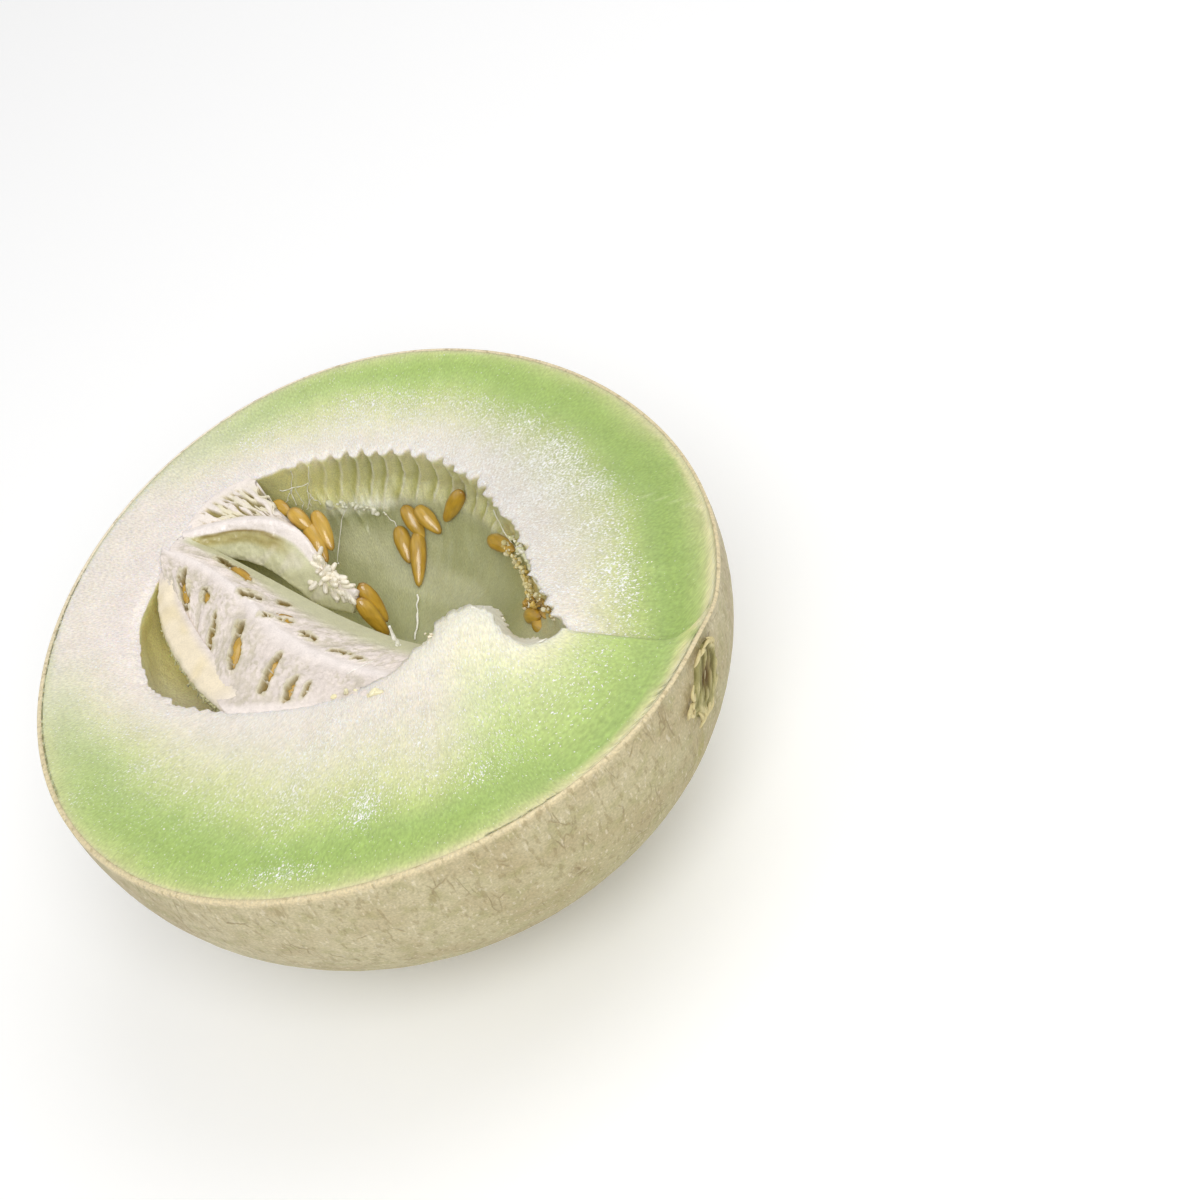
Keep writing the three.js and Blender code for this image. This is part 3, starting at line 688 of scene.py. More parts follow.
def makeFlesh(c):
    edge = c["rimWidth"] * 0.75
    width = np.linalg.norm(c["outer"] - c["inner"], axis=1)
    shares = np.concatenate([[0, 0.008, 0.018, 0.03, 0.045], np.linspace(0.065, 0.86, 13),
        np.linspace(0.88, 1, 11)])
    n = len(c["along"])
    start = np.minimum(0.2, edge / width)
    fromRind = start + (1 - start) * shares[:, None]
    tops = facePoints(c, fromRind)
    inwards = (c["inner"] - c["outer"]) / width[:, None]
    tops[0] = c["outer"] + inwards * (c["rimWidth"] * 0.7)[:, None]
    tops[0, :, 2] = faceHeight(tops[0, :, 0], tops[0, :, 1], c["front"]) - 0.05
    tops[..., 2] += 0.06 * noiseAt(tops, 1.8, 41)
    wallShares = (np.arange(1, 51) / 51) ** 1.15
    walls, down = wallPoints(c, wallShares)
    under = rindPoints(c["outer"], np.linspace(0.15, 1, 7)) * [1 - 1.0 / 85, 1 - 1.0 / 85, 1]
    under[..., 2] = np.maximum(under[..., 2], -cutLevel + 1)
    under[-1, :, 2] -= 0.5
    rings = np.concatenate([under, tops, walls])
    bottom, floorPoint = [0, 0, -cutLevel + 1], [*cavity["floor"], -cavity["depth"]]
    points = np.concatenate([rings.reshape(-1, 3), [bottom, floorPoint]])
    faces = ringFaces(len(rings), n, len(points) - 2, len(points) - 1)

    # colours of the face
    theta = c["theta"]
    wobble = (0.05 * noiseAt(tops, 16, 51)
        + 0.025 * flatNoise(c["around"] * 26 + 0 * fromRind, fromRind * 3, 52))
    v = np.clip(fromRind + wobble * smooth(0, 0.15, fromRind), 0, 1)
    colours = rampOf(face["places"], face["colours"], v)
    pale = bell(angleGap(theta, face["paleAngle"]), face["paleSpread"]) * smooth(-0.05, 0.12, v)
    colours = mix(colours, face["paleColour"], np.clip(1.15 * pale, 0, 0.95))
    beside = rampOf(face["seamPlaces"], face["seamColours"], v)
    warm = smooth(face["warmFrom"], face["warmTo"], theta) * c["front"] + 0 * v
    colours = mix(colours, beside, warm)
    nextTo = bell(c["turn"], math.radians(15)) * c["front"]
    colours = mix(colours, rampOf(face["nextPlaces"], face["nextColours"], v), nextTo * smooth(0.25, 0.45, v))
    # the right is a darker green, and the ground of the wettest part is darker too
    deeper = bell(angleGap(theta, 18), 45) * smooth(0.52, 0.3, fromRind)
    wettest = bell(angleGap(theta, 45), 40) * smooth(0.3, 0.5, fromRind) * (1 - c["front"])
    rear = bell(angleGap(theta, 100), 40)
    colours = np.minimum(255, colours * (1 + 0.035 * rear - 0.05 * deeper - 0.07 * wettest)[..., None])
    # the cream band beside the rind is widest at the stem end
    fromEdge = -beyond(c["outer"], tops) + 0.5 * noiseAt(tops, 2.2, 53)
    atStem = bell(angleGap(np.degrees(c["around"]), 0), 60)
    band = smooth(2.2 + 1.6 * atStem, 0.9 + 0.6 * atStem, fromEdge) * (0.35 + 0.6 * atStem)
    colours = mix(colours, face["rimCream"], band)
    toLip = (1 - fromRind) * width
    tongueColours = mix(face["tongueEdge"], face["tongueLeft"], smooth(19, 8, c["lip"][:, 0]) + 0 * v)
    colours = mix(colours, tongueColours, 0.9 * np.clip(1.4 * c["onTongue"], 0, 1) * bell(toLip, 5.5))
    atEnd = bell(c["turn"], math.radians(7)) * smooth(0.16, 0.03, fromRind) * c["front"]
    colours = mix(colours, face["endCream"], 0.8 * atEnd)
    # painted shade: a thin dark line in the crease along the seam
    fromSeam = np.minimum(c["along"], c["rimLength"] - c["along"])
    colours = mix(colours, face["seamShade"],
        0.5 * bell(fromSeam, 0.3) * smooth(0.04, 0.12, fromRind) * smooth(0.98, 0.8, fromRind))
    spot = bell(np.linalg.norm(tops - [83.2, -3.2, 2], axis=-1), 2)
    colours = mix(colours, face["greenSpot"], 0.8 * spot * c["front"])
    scratch = bell(fromSegment(tops[..., :2], (57.9, 38), (76.5, 34.6))[0], 0.25)
    colours = mix(colours, face["tongueEdge"], 0.3 * scratch)

    # colours of the wall and floor
    fluted = c["fluted"]
    groove, phase = grooveAt(c, down), phaseAt(c, down)
    low = down / flutes["height"]
    wallColours = evenColour(wall["floor"], (*down.shape, 3))
    wallColours = mix(wallColours, wall["glow"], 0.45 * smooth(-0.2, 0.7, noiseAt(walls, 15, 61)))
    across = fromSegment(walls[..., :2], *wall["band"])[0] + 1.5 * noiseAt(walls, 6, 63)
    wallColours = mix(wallColours, wall["glow"], 0.7 * smooth(5.5, 1.5, across) * smooth(18, 24, down))
    rightWall = bell(angleGap(theta, 42), 32) * smooth(20, 7, down)
    wallColours = mix(wallColours, wall["right"], 0.85 * rightWall)
    # each flute has painted shade, darkest beside the ridge on its right and deeper down, and the ridges are
    # pale torn edges
    hollow = mix(wall["groove"], wall["grooveShade"], smooth(0.66, 0.06, phase) * smooth(0.5, 4, down))
    # more painted shade in the hollows towards the sponge
    hollow = mix(hollow, wall["grooveShade"], 0.35 * smooth(112, 130, theta) + 0 * phase)
    ridgeLine = bell(np.minimum(phase, 1 - phase) * flutes["pitch"], 0.3) * smooth(0.3, 2.5, down)
    fluteColours = mix(hollow, wall["ridge"], 0.85 * ridgeLine)
    inFlutes = fluted * smooth(1.12, 0.98, low)
    wallColours = mix(wallColours, fluteColours, inFlutes)
    onLedge = fluted * bell(down - flutes["height"] - 1.2, 1.5) * (0.2 + bell(theta - 116, 14))
    wallColours = mix(wallColours, wall["ledge"], np.clip(0.85 * onLedge, 0, 1))
    # painted light: the shaded wall behind the sponge is painted pale
    litBehindSponge = bell(angleGap(theta, 132), 13) * smooth(20, 9, down)
    wallColours = mix(wallColours, wall["litBehindSponge"], 0.8 * litBehindSponge)
    # the pocket's wall is painted close to white: its own pale tint, lightened as painted light because it
    # lies in shade, and lightest just under the rim
    pocket = bell(angleGap(theta, 200), 34)
    pocketColours = mix(wall["pocketTop"], wall["pocketLow"], smooth(190, 222, theta) + 0 * down)
    pocketColours = mix(pocketColours, wall["pocketLow"], 0.6 * smooth(3.5, 0.5, down))
    wallColours = mix(wallColours, pocketColours, np.clip(1.3 * pocket, 0, 1) * smooth(0.1, 1.2, down))
    underLip = bell(angleGap(theta, 338), 26) * smooth(26, 12, down)
    wallColours = mix(wallColours, wall["tongueUnder"], underLip)
    fade = smooth(1.6, 0.2, down) * (1 - 0.8 * groove) + 0.75 * fluted * smooth(6.5, 0.3, down) * groove
    plainLip = mix(wallColours, face["colours"][-1], np.clip(fade, 0, 1))
    amber = bell(angleGap(theta, 24), 20) * bell(down - 10, 6.5) * smooth(-0.5, 0.2, noiseAt(walls, 3, 62))
    plainLip = mix(plainLip, wall["amber"], 0.9 * amber)
    underColours = evenColour(face["colours"][1], (len(under), n, 3))
    allColours = np.concatenate([underColours, colours, plainLip]).reshape(-1, 3)
    allColours = np.concatenate([allColours, [face["colours"][1], wall["floor"]]])

    # the grain runs outwards, so the painted glints are longer that way
    radial = np.linalg.norm(rings[..., :2] - cavity["floor"], axis=-1) * 0.4
    around = np.broadcast_to(c["around"] * 62, radial.shape)
    grain = np.stack([around, radial, rings[..., 2]], -1).reshape(-1, 3) / 1000
    grain = np.concatenate([grain, grain[:2]])
    # how thickly the painted glints lie on each part of the face, by angle, in the green and in the pale
    # zone, with two clusters
    angles = [0, 40, 90, 130, 165, 200, 240, 290, 330, 360]
    inGreen = np.interp(theta, angles, [0.14, 0.1, 0.26, 0.38, 0.5, 0.4, 0.36, 0.32, 0.22, 0.16])
    inPale = np.interp(theta, angles, [0.95, 1.12, 1.0, 0.86, 0.74, 0.62, 0.74, 0.82, 0.74, 0.85])
    clusters = bell(angleGap(theta, 293), 8) * bell(fromRind - 0.14, 0.06)
    clusters = clusters + bell(angleGap(theta, 306), 4) * bell(fromRind - 0.42, 0.12)
    faceGlintCover = inGreen + (inPale - inGreen) * smooth(0.26, 0.5, fromRind) * (1 - 0.6 * nextTo) + 0.6 * clusters
    faceGlintCover = faceGlintCover * smooth(0.02, 0.08, fromRind) * smooth(1.01, 0.985, fromRind)
    wet = np.concatenate([np.zeros((len(under), n)), faceGlintCover, np.zeros(down.shape)]).ravel()
    wet = np.concatenate([wet, [0, 0]])
    values = {"grain": grain, "wet": wet}
    return makePiece("flesh", points, faces, fleshMaterial(), "flesh_and_rind",
        allColours, values)


rind = {
    "thickness": 1.3, "cream": [197, 186, 148], "tan": [173, 155, 112], "olive": [161, 155, 100],
    "crack": [140, 120, 74], "edge": [222, 206, 166], "rearEdge": [246, 234, 212], "fleck": [222, 212, 184],
    "underScar": [160, 150, 72],
}


def makeRind(c):
    n = len(c["along"])
    rim = c["outer"]
    inwards = c["inner"][:, :2] - rim[:, :2]
    inwards /= np.linalg.norm(inwards, axis=1, keepdims=True)
    shell = rindPoints(rim, np.concatenate([[0.1, 0.16, 0.22], np.linspace(0.28, 0.985, 26)]))
    radius = 0.45
    corner = []
    for a in np.radians([10, 35, 60, 85]):
        xy = rim[:, :2] + inwards * radius * (1 - math.cos(a))
        corner.append(np.column_stack([xy, rim[:, 2] - radius * (1 - math.sin(a))]))
    band = []
    for share, lift in ((0.6, 0.05), (0.8, 0.05), (1, 0.03), (1.1, -0.8)):
        xy = rim[:, :2] + inwards * (c["rimWidth"] * share)[:, None]
        band.append(np.column_stack([xy, faceHeight(xy[:, 0], xy[:, 1], c["front"]) + lift]))
    inside = rindPoints(rim, np.linspace(0.93, 0.15, 7)) * [1 - 1.6 / 85, 1 - 1.6 / 85, 1]
    inside[..., 2] = np.maximum(inside[..., 2], -cutLevel + 1.6)
    rings = np.concatenate([shell, corner, band, inside])
    outside = len(shell)
    normalPush = 0.18 * noiseAt(rings[:outside], 9, 71) + 0.06 * noiseAt(rings[:outside], 2.5, 72)
    rings[:outside] *= (1 - np.abs(normalPush) / 85)[..., None]
    bottom, top = [0, 0, -cutLevel], [0, 0, -cutLevel + 1.6]
    points = np.concatenate([rings.reshape(-1, 3), [bottom, top]])
    faces = ringFaces(len(rings), n, len(points) - 2, len(points) - 1)
    z = rings[..., 2]
    fromEdge = np.linalg.norm(rings - rim, axis=-1)
    colours = evenColour(rind["cream"], rings.shape)
    olive = smooth(-20, -75, z) * 0.75 + 0.4 * smooth(20, 80, rings[..., 0]) * smooth(0, -30, z)
    colours = mix(colours, rind["olive"], np.clip(olive, 0, 0.9))
    rearLeft = bell(angleGap(c["theta"], 145), 60) + 0 * fromEdge
    colours = mix(colours, mix(rind["edge"], rind["rearEdge"], rearLeft),
        bell(fromEdge, 1.3 + 1.2 * rearLeft))
    # olive streaks run down from the scar
    down = smooth(-13, -22, z) * smooth(-52, -28, z) * smooth(50, 70, rings[..., 0])
    streaks = (smooth(-0.2, 0.5, flatNoise(rings[..., 1] / 1.1, z / 9, 73))
        * bell(rings[..., 1] - scar["y"] - 0.4 * (z + 14), 5.5))
    colours = mix(colours, rind["underScar"], 0.85 * streaks * down)
    colours = colours.reshape(-1, 3)
    colours = np.concatenate([colours, [rind["olive"], rind["olive"]]])
    away = np.concatenate([smooth(0.3, 2.4, fromEdge).ravel(), [1, 1]])
    return makePiece("rind", points, faces, rindMaterial(), "flesh_and_rind", colours,
        {"awayFromEdge": away})


# Rings of a body lofted through sections, closed at both ends.
def makeLoft(name, rings, material, node, colours, values=None):
    rings = np.asarray(rings, float)
    count, around = rings.shape[:2]
    ends = [rings[0].mean(0), rings[-1].mean(0)]
    points = np.concatenate([rings.reshape(-1, 3), ends])
    allColours = np.concatenate([np.asarray(colours, float).reshape(-1, 3), [colours[0][0], colours[-1][0]]])
    extra = {}
    for key, value in (values or {}).items():
        value = np.asarray(value, float)
        flat = value.reshape(count * around, -1)
        extra[key] = np.concatenate([flat, flat[:1], flat[-1:]])
        if flat.shape[1] == 1:
            extra[key] = extra[key][:, 0]
    faces = ringFaces(count, around, len(points) - 2, len(points) - 1)
    return makePiece(name, points, faces, material, node, allColours, extra)


# How far each point is from a segment in plan, and how far along it.
def fromSegment(xy, a, b):
    a, b = np.array(a, float), np.array(b, float)
    t = np.clip(((xy - a) @ (b - a)) / ((b - a) @ (b - a)), 0, 1)
    return np.linalg.norm(xy - a - t[..., None] * (b - a), axis=-1), t


lobe = {
    "rear": [
        [-62.6, 20.4, -0.2], [-51.3, 18, -4], [-38, 14, -7.5], [-24, 8.6, -9], [-9, 2.5, -8.5],
        [5, -2.5, -7], [18, -6, -5],
    ],
    "midrib": [
        [-64.2, 15, -0.1], [-49.1, 10.1, -1], [-34.9, 2, -1.4], [-21.5, -7.3, -1.4], [-5.9, -14, -1.2],
        [6.2, -17, -0.6], [18.4, -19.6, 0.2],
    ],
    "front": [
        [-60.8, 4.5, -0.3], [-49.1, -5.9, -2.2], [-39.6, -17.5, -2.2], [-25.9, -32.3, -0.4],
        [-4.7, -35.5, 0.6],
        [8, -32.3, 1.3], [20.1, -26.4, 2],
    ],
    "swell": 1.4, "sweep": 0.055, "rearSweep": 0.26, "smoothFrom": 0.66,
    "colour": [229, 217, 208], "valley": [192, 183, 160], "midribColour": [240, 230, 224],
    "membrane": [208, 206, 172],
    "halo": [198, 190, 152], "skirt": [206, 203, 142],
    "slotColour": [150, 126, 66], "strand": [240, 234, 218],
    # each slot runs between two points, then its half width and depth
    "slots": [
        [[-55.6, 8.6], [-50.9, -1.9], 0.9, 2.4], [[-47.6, 3.8], [-45.6, -0.4], 0.8, 1.7],
        [[-41.9, -3.0], [-39.9, -9.7], 0.55, 1.5], [[-41.3, -8.3], [-39.4, -13.2], 0.6, 1.4],
        [[-34.0, -5.6], [-30.3, -18.7], 1.5, 2.8], [[-19.6, -14.3], [-20, -25.3], 1.25, 2.4],
        [[-12.4, -20.9], [-12.6, -28.6], 1.0, 2.0], [[-8, -22.1], [-7.9, -26.4], 0.7, 1.6],
        [[-49.4, 14.9], [-37.6, 8.7], 1.0, 2.0], [[-38.4, 4.2], [-32.5, 3.2], 1.1, 2.4],
        [[-28.3, 3.9], [-25.3, 2.8], 0.8, 1.3], [[-29.9, -2.5], [-27, -2.6], 0.5, 1.2],
        [[-25, -2.9], [-21.1, -3.1], 0.6, 1.2], [[-17.8, -6.1], [-12.8, -7.8], 0.6, 1.2],
        [[-7.4, -10.7], [-3.2, -11.3], 0.45, 1.0], [[-1.9, -12], [1.9, -13.2], 0.45, 1.0],
    ],
}


def makeLobe(c, material):
    rear, midrib, front = [curveThrough(lobe[key]) for key in ("rear", "midrib", "front")]
    s = np.linspace(0, 1, 400)[:, None]
    t = np.linspace(0, 1, 92)[None, :]
    across = 20
    sides = {}
    for key, edge in (("front", front), ("rear", rear)):
        p = midrib(s + 0 * t) * (1 - t[..., None]) + edge(s + lobe["sweep"] * t) * t[..., None]
        p[..., 2] += lobe["swell"] * np.sin(np.pi * t)
        q = (s - (lobe["rearSweep"] if key == "rear" else 0.02) * t) * 88
        b = t * across + (0 if key == "rear" else 50)
        if key == "rear":
            loose = smooth(0.04, 0.2, t) * smooth(lobe["smoothFrom"] + 0.12, lobe["smoothFrom"] - 0.12, t)
        else:
            loose = smooth(0.04, 0.2, t) * smooth(1.0, 0.84, t)
        broad = flatNoise(q / 2.4, b / 8 + 0 * q, 81)
        fuzz = (noiseAt(p, 0.8, 85) + 0.7 * noiseAt(p, 0.45, 86)
            + 0.5 * flatNoise(q / 0.7, b / 3.2 + 0 * q, 79))
        lift = (0.27 * broad + 0.15 * fuzz) * (0.15 + 0.85 * loose) + 0.5 * noiseAt(p, 5, 83) * loose
        ridge = 0.6 * bell(t * across, 1.8)
        colours = mix(lobe["colour"], lobe["valley"],
            np.clip(0.5 * smooth(0.1, -0.8, broad + 0.4 * fuzz) * loose, 0, 1))
        pits = (smooth(0.15, 0.6, flatNoise(q / 0.7, b / 0.9 + 0 * q, 88)) * loose
            * smooth(-0.6, 0.2, noiseAt(p, 6, 89)))
        colours = mix(colours, lobe["valley"], 0.55 * pits)
        colours = mix(colours, lobe["midribColour"], bell(t * across, 2.8) + 0 * q)
        if key == "rear":
            colours = mix(colours, lobe["membrane"],
                smooth(lobe["smoothFrom"] - 0.22, lobe["smoothFrom"] + 0.1, t) + 0 * q)
        for index, (start, end, halfWidth, deep) in enumerate(lobe["slots"]):
            d, along = fromSegment(p[..., :2], start, end)
            length = math.dist(start, end)
            wide = halfWidth * (1 - 0.5 * np.abs(2 * along - 1) ** 3)
            d = d + 0.5 * flatNoise(q / 1.1, b / 3 + 0 * q, 84) + 0.35 * noiseAt(p, 0.8, 87)
            core, halo = smooth(wide, wide * 0.4, d), smooth(wide + 1.1, wide, d)
            run = along * length + 0.7 * noiseAt(p, 1.5, 90)
            strand = (smooth(0.8, 0.97, np.cos(2 * np.pi * run / 3.1 + 2 * index))
                * smooth(-0.1, 0.2, noiseAt(p, 2.5, 95 + index)))
            strand = strand * smooth(0, 0.25, along) * smooth(1, 0.75, along)
            lift = lift + 0.3 * bell(d - wide - 0.5, 0.5) - deep * core * (1 - 0.7 * strand)
            colours = mix(colours, lobe["halo"], 0.6 * halo)
            colours = mix(colours, mix(lobe["slotColour"], lobe["strand"], strand), core)
        p[..., 2] += lift + ridge
        # its margin rises to the face and runs a little way over it
        over = beyond(c["lip"], p)
        joined = smooth(14, 3, p[..., 0]) * smooth(-5, -0.6, over)
        joined = joined * (smooth(0.5, 0.8, t) if key == "front" else smooth(0.08, 0.0, s) + 0 * t)
        level = faceHeight(p[..., 0], p[..., 1], key == "front") + 0.1 * fuzz
        p[..., 2] = p[..., 2] * (1 - joined) + (level + 0.05 - 1.2 * smooth(0.6, 2.6, over)) * joined
        colours = mix(colours, face["paleColour"], joined * smooth(-3.5, 0, over))
        sides[key] = (p, colours)
    frontPoints, frontColours = sides["front"][0][:, ::-1], sides["front"][1][:, ::-1]
    rearPoints, rearColours = sides["rear"][0][:, 1:], sides["rear"][1][:, 1:]
    foot = -cavity["depth"] - 4
    last = rearPoints[:, -1]
    skirt = [last + [-0.4, -0.8, -1.2], last + [-1.5, -3, -4]]
    skirt.append(np.column_stack([skirt[1][:, :2], np.full(len(last), foot)]))
    skirt.append(np.column_stack([frontPoints[:, 0, :2], np.full(len(last), foot)]))
    skirt = np.stack(skirt, 1)
    skirtColours = evenColour(lobe["skirt"], skirt.shape)
    rings = np.concatenate([frontPoints, rearPoints, skirt], 1)
    colours = np.concatenate([frontColours, rearColours, skirtColours], 1)
    return makeLoft("pulp_lobe", rings, material, "pulp", colours)


def ribbonSection(count):
    corners = [
        [0, -0.55], [0.12, -1], [0.5, -1.15], [0.88, -1], [1, -0.55], [1, 0.55], [0.88, 1], [0.5, 1.15],
        [0.12, 1], [0, 0.55],
    ]
    return curveThrough(corners, True)(np.arange(count) / count)


# Rings of a ribbon between two edges, with its shares from edge to edge and from one side to the other.
def ribbonRings(a, b, forward, thickness, count):
    across = np.cross(forward, a - b)
    across = across / np.linalg.norm(across, axis=1, keepdims=True) * np.asarray(thickness)[..., None] / 2
    section = ribbonSection(count)
    t, k = section[:, 0], section[:, 1]
    rings = (a[:, None] * (1 - t[None, :, None]) + b[:, None] * t[None, :, None]
        + across[:, None] * k[None, :, None])
    return rings, across[:, None] * np.sign(k)[None, :, None], t


petal = {
    # a thin torn flap hangs into the notch beside the tongue
    "top": [[26.8, 0.2, 0], [32, -2.2, 0], [36.8, -6.9, 0], [44.3, -9.4, 0], [48.4, -7.2, 0]],
    "low": [
        [28.6, 4.2, -1.6], [30.8, 3.2, -2.6], [33.2, 1.0, -3.0], [36, -2.2, -3.2], [39.5, -3.2, -3.0],
        [43, -2.3, -2.9], [47, -2.8, -2.0],
    ],
    "thickness": 0.7, "colour": [246, 243, 228],
}


def makePetal(material):
    s = np.linspace(0, 1, 110)
    a, b = curveThrough(petal["top"])(s), curveThrough(petal["low"])(s)
    # its upper edge is on the lip
    a[:, 2] = faceHeight(a[:, 0], a[:, 1], True) - 0.9
    ragged = 1 + 0.25 * flatNoise(s * 9, 0 * s, 161) + 0.25 * flatNoise(s * 30, 0 * s, 162)
    b = a + (b - a) * ragged[:, None] * smooth(1.1, 0.7, s)[:, None]
    rings, out = ribbonRings(a, b, np.gradient(a, axis=0), petal["thickness"] + 0 * s, 40)[:2]
    rings = rings + out * (0.3 * noiseAt(rings, 1.2, 163))[..., None]
    colours = evenColour(petal["colour"], rings.shape)
    return makeLoft("torn_petal", rings, material, "flesh_and_rind", colours)


flap = {
    "top": [
        [-61, 21, -0.4], [-53.6, 24.2, -0.6], [-46, 26.5, -0.8], [-38, 27, -1.4], [-30.5, 24.6, -3.4],
        [-24.5, 19.8, -8], [-14.5, 14.2, -12],
    ],
    "low": [
        [-60, 17, -6], [-53, 19.2, -8], [-48, 20.4, -9.4], [-40, 19.4, -11.6], [-32.5, 15.8, -14.4],
        [-26, 13.2, -17], [-16.9, 12.6, -18.4],
    ],
    "thickness": 4.2, "freeThickness": 1.9, "fingers": 56, "fingerLength": 2.9, "fingerWidth": 1.45,
    # colours: the top, the painted shade under it, the face, the low part, the painted shadow lines, the
    # fingers
    "topColour": [244, 234, 228], "band": [178, 166, 104], "faceColour": [218, 216, 180],
    "lowColour": [222, 219, 182],
    "shadowLine": [140, 118, 54], "fingerColour": [244, 236, 218],
}


def makeFlap(material):
    top, low = curveThrough(flap["top"]), curveThrough(flap["low"])
    s = np.linspace(0, 1, 300)
    a, b = top(s), low(s)
    forward = top(s + 0.03) - top(s - 0.03)
    forward /= np.linalg.norm(forward, axis=1, keepdims=True)
    free = smooth(0.5, 0.68, s)
    thickness = flap["thickness"] + (flap["freeThickness"] - flap["thickness"]) * free
    rings, out, t = ribbonRings(a, b, forward, thickness, 84)
    rings = rings + out * (0.12 * noiseAt(rings, 1.6, 91) + 0.1 * noiseAt(rings, 0.8, 92))[..., None]
    # the rim is a little ragged where the flap leaves the wall
    rings[..., 2] += 0.3 * noiseAt(rings, 1.2, 96) * smooth(0.2, 0, t) * free[:, None]
    shape = rings.shape[:2]
    tt = np.broadcast_to(t, shape) + 0.04 * noiseAt(rings, 5, 97)
    fixed = 1 - free[:, None]
    colours = mix(flap["topColour"], flap["faceColour"], smooth(0.2, 0.3, tt))
    # painted shade: an olive band under the overhanging top, where the flap is fixed to the wall
    colours = mix(colours, flap["band"], 0.9 * smooth(0.24, 0.34, tt) * smooth(0.62, 0.46, tt) * fixed)
    colours = mix(colours, flap["lowColour"], smooth(0.6, 1.0, tt))
    ridges = flatNoise(s[:, None] * 18 + tt * 3, tt * 2, 98)
    colours = mix(colours, flap["topColour"], 0.35 * smooth(0.1, 0.7, ridges) * smooth(0.25, 0.5, tt))
    # two uneven brown lines of painted shadow run along it
    upper = bell(tt - 0.27 - 0.03 * noiseAt(rings, 6, 93), 0.035)
    lower = bell(tt - 0.42 - 0.06 * noiseAt(rings, 5, 99), 0.025)
    brown = 1.2 * upper + 0.5 * lower
    brown = brown * smooth(0.62, 0.5, s)[:, None] * smooth(0.02, 0.1, s)[:, None]
    brown = brown * smooth(-0.6, 0, noiseAt(rings, 3, 94))
    colours = mix(colours, flap["shadowLine"], np.clip(0.85 * brown, 0, 1))
    makeLoft("pulp_flap", rings, material, "pulp", colours)
    makeFingers(top, low, material)


# Small rounded fingers crowd the flap's free end and the edge before it.
def makeFingers(top, low, material):
    rng = np.random.RandomState(5)
    way, toward = np.array([0.84, -0.42, -0.34]), np.array([0.41, -0.54, 0.73])
    centre = top([0.86])[0] * 0.8 + low([0.86])[0] * 0.2 + toward * 0.6
    swell = np.array([0.9, 0.95, 1, 1.02, 1.05, 1.02, 0.92, 0.62])
    tubes, tints = [], []
    for i in range(flap["fingers"]):
        share, fall = i / (flap["fingers"] - 1), rng.rand()
        at = [0.8 + 0.17 * share]
        edge = top(at)[0] * (1 - 0.6 * fall) + low(at)[0] * 0.6 * fall
        root = edge + toward * 0.9 * (1 - fall) + 0.3 * rng.randn(3)
        aim = (root - centre) * 0.3 + 0.45 * way + 0.5 * toward + 0.5 * rng.randn(3)
        aim = aim / np.linalg.norm(aim)
        root = root - aim * 0.8
        bend = np.cross(aim, rng.randn(3)) * 0.25
        length = flap["fingerLength"] * rng.uniform(0.8, 1.35)
        steps = np.linspace(0, 1, 8)[:, None]
        path = root + aim * steps * length + bend * steps**2 * length
        tubes.append((path, flap["fingerWidth"] / 2 * rng.uniform(0.8, 1.15) * swell))
        tints.append(np.array(flap["fingerColour"], float) * rng.uniform(0.94, 1.04))
    return makeTubes("pulp_fingers", tubes, tints, 9, material, "pulp")


# Thin bodies along paths, joined as one mesh.
def makeTubes(name, tubes, tints, sides, material, node):
    points, faces, colours = [], [], []
    start = 0
    for (path, widths), tint in zip(tubes, tints):
        path = np.asarray(path, float)
        tangent = np.gradient(path, axis=0)
        tangent /= np.linalg.norm(tangent, axis=1, keepdims=True)
        up = np.array([0.3, -0.4, 0.87])
        u = np.cross(tangent, up)
        u /= np.linalg.norm(u, axis=1, keepdims=True)
        v = np.cross(tangent, u)
        a = np.linspace(0, 2 * np.pi, sides, endpoint=False)
        circle = u[:, None] * np.cos(a)[None, :, None] + v[:, None] * np.sin(a)[None, :, None]
        rings = path[:, None] + circle * np.asarray(widths)[:, None, None]
        ends = [path[0] - tangent[0] * widths[0] * 0.5, path[-1] + tangent[-1] * widths[-1] * 0.4]
        count = len(path) * sides
        for f in ringFaces(len(path), sides, count, count + 1):
            faces.append([start + k for k in f])
        points.append(np.concatenate([rings.reshape(-1, 3), ends]))
        colours.append(np.tile(np.asarray(tint, float), (count + 2, 1)))
        start += count + 2
    return makePiece(name, np.concatenate(points), faces, material, node, np.concatenate(colours))


sponge = {
    "from": 0, "to": 0.62, "sunk": 2.4, "pit": 2.0, "bottom": -15,
    "colour": [236, 226, 216], "veil": [224, 216, 186], "hole": [164, 150, 92],
}


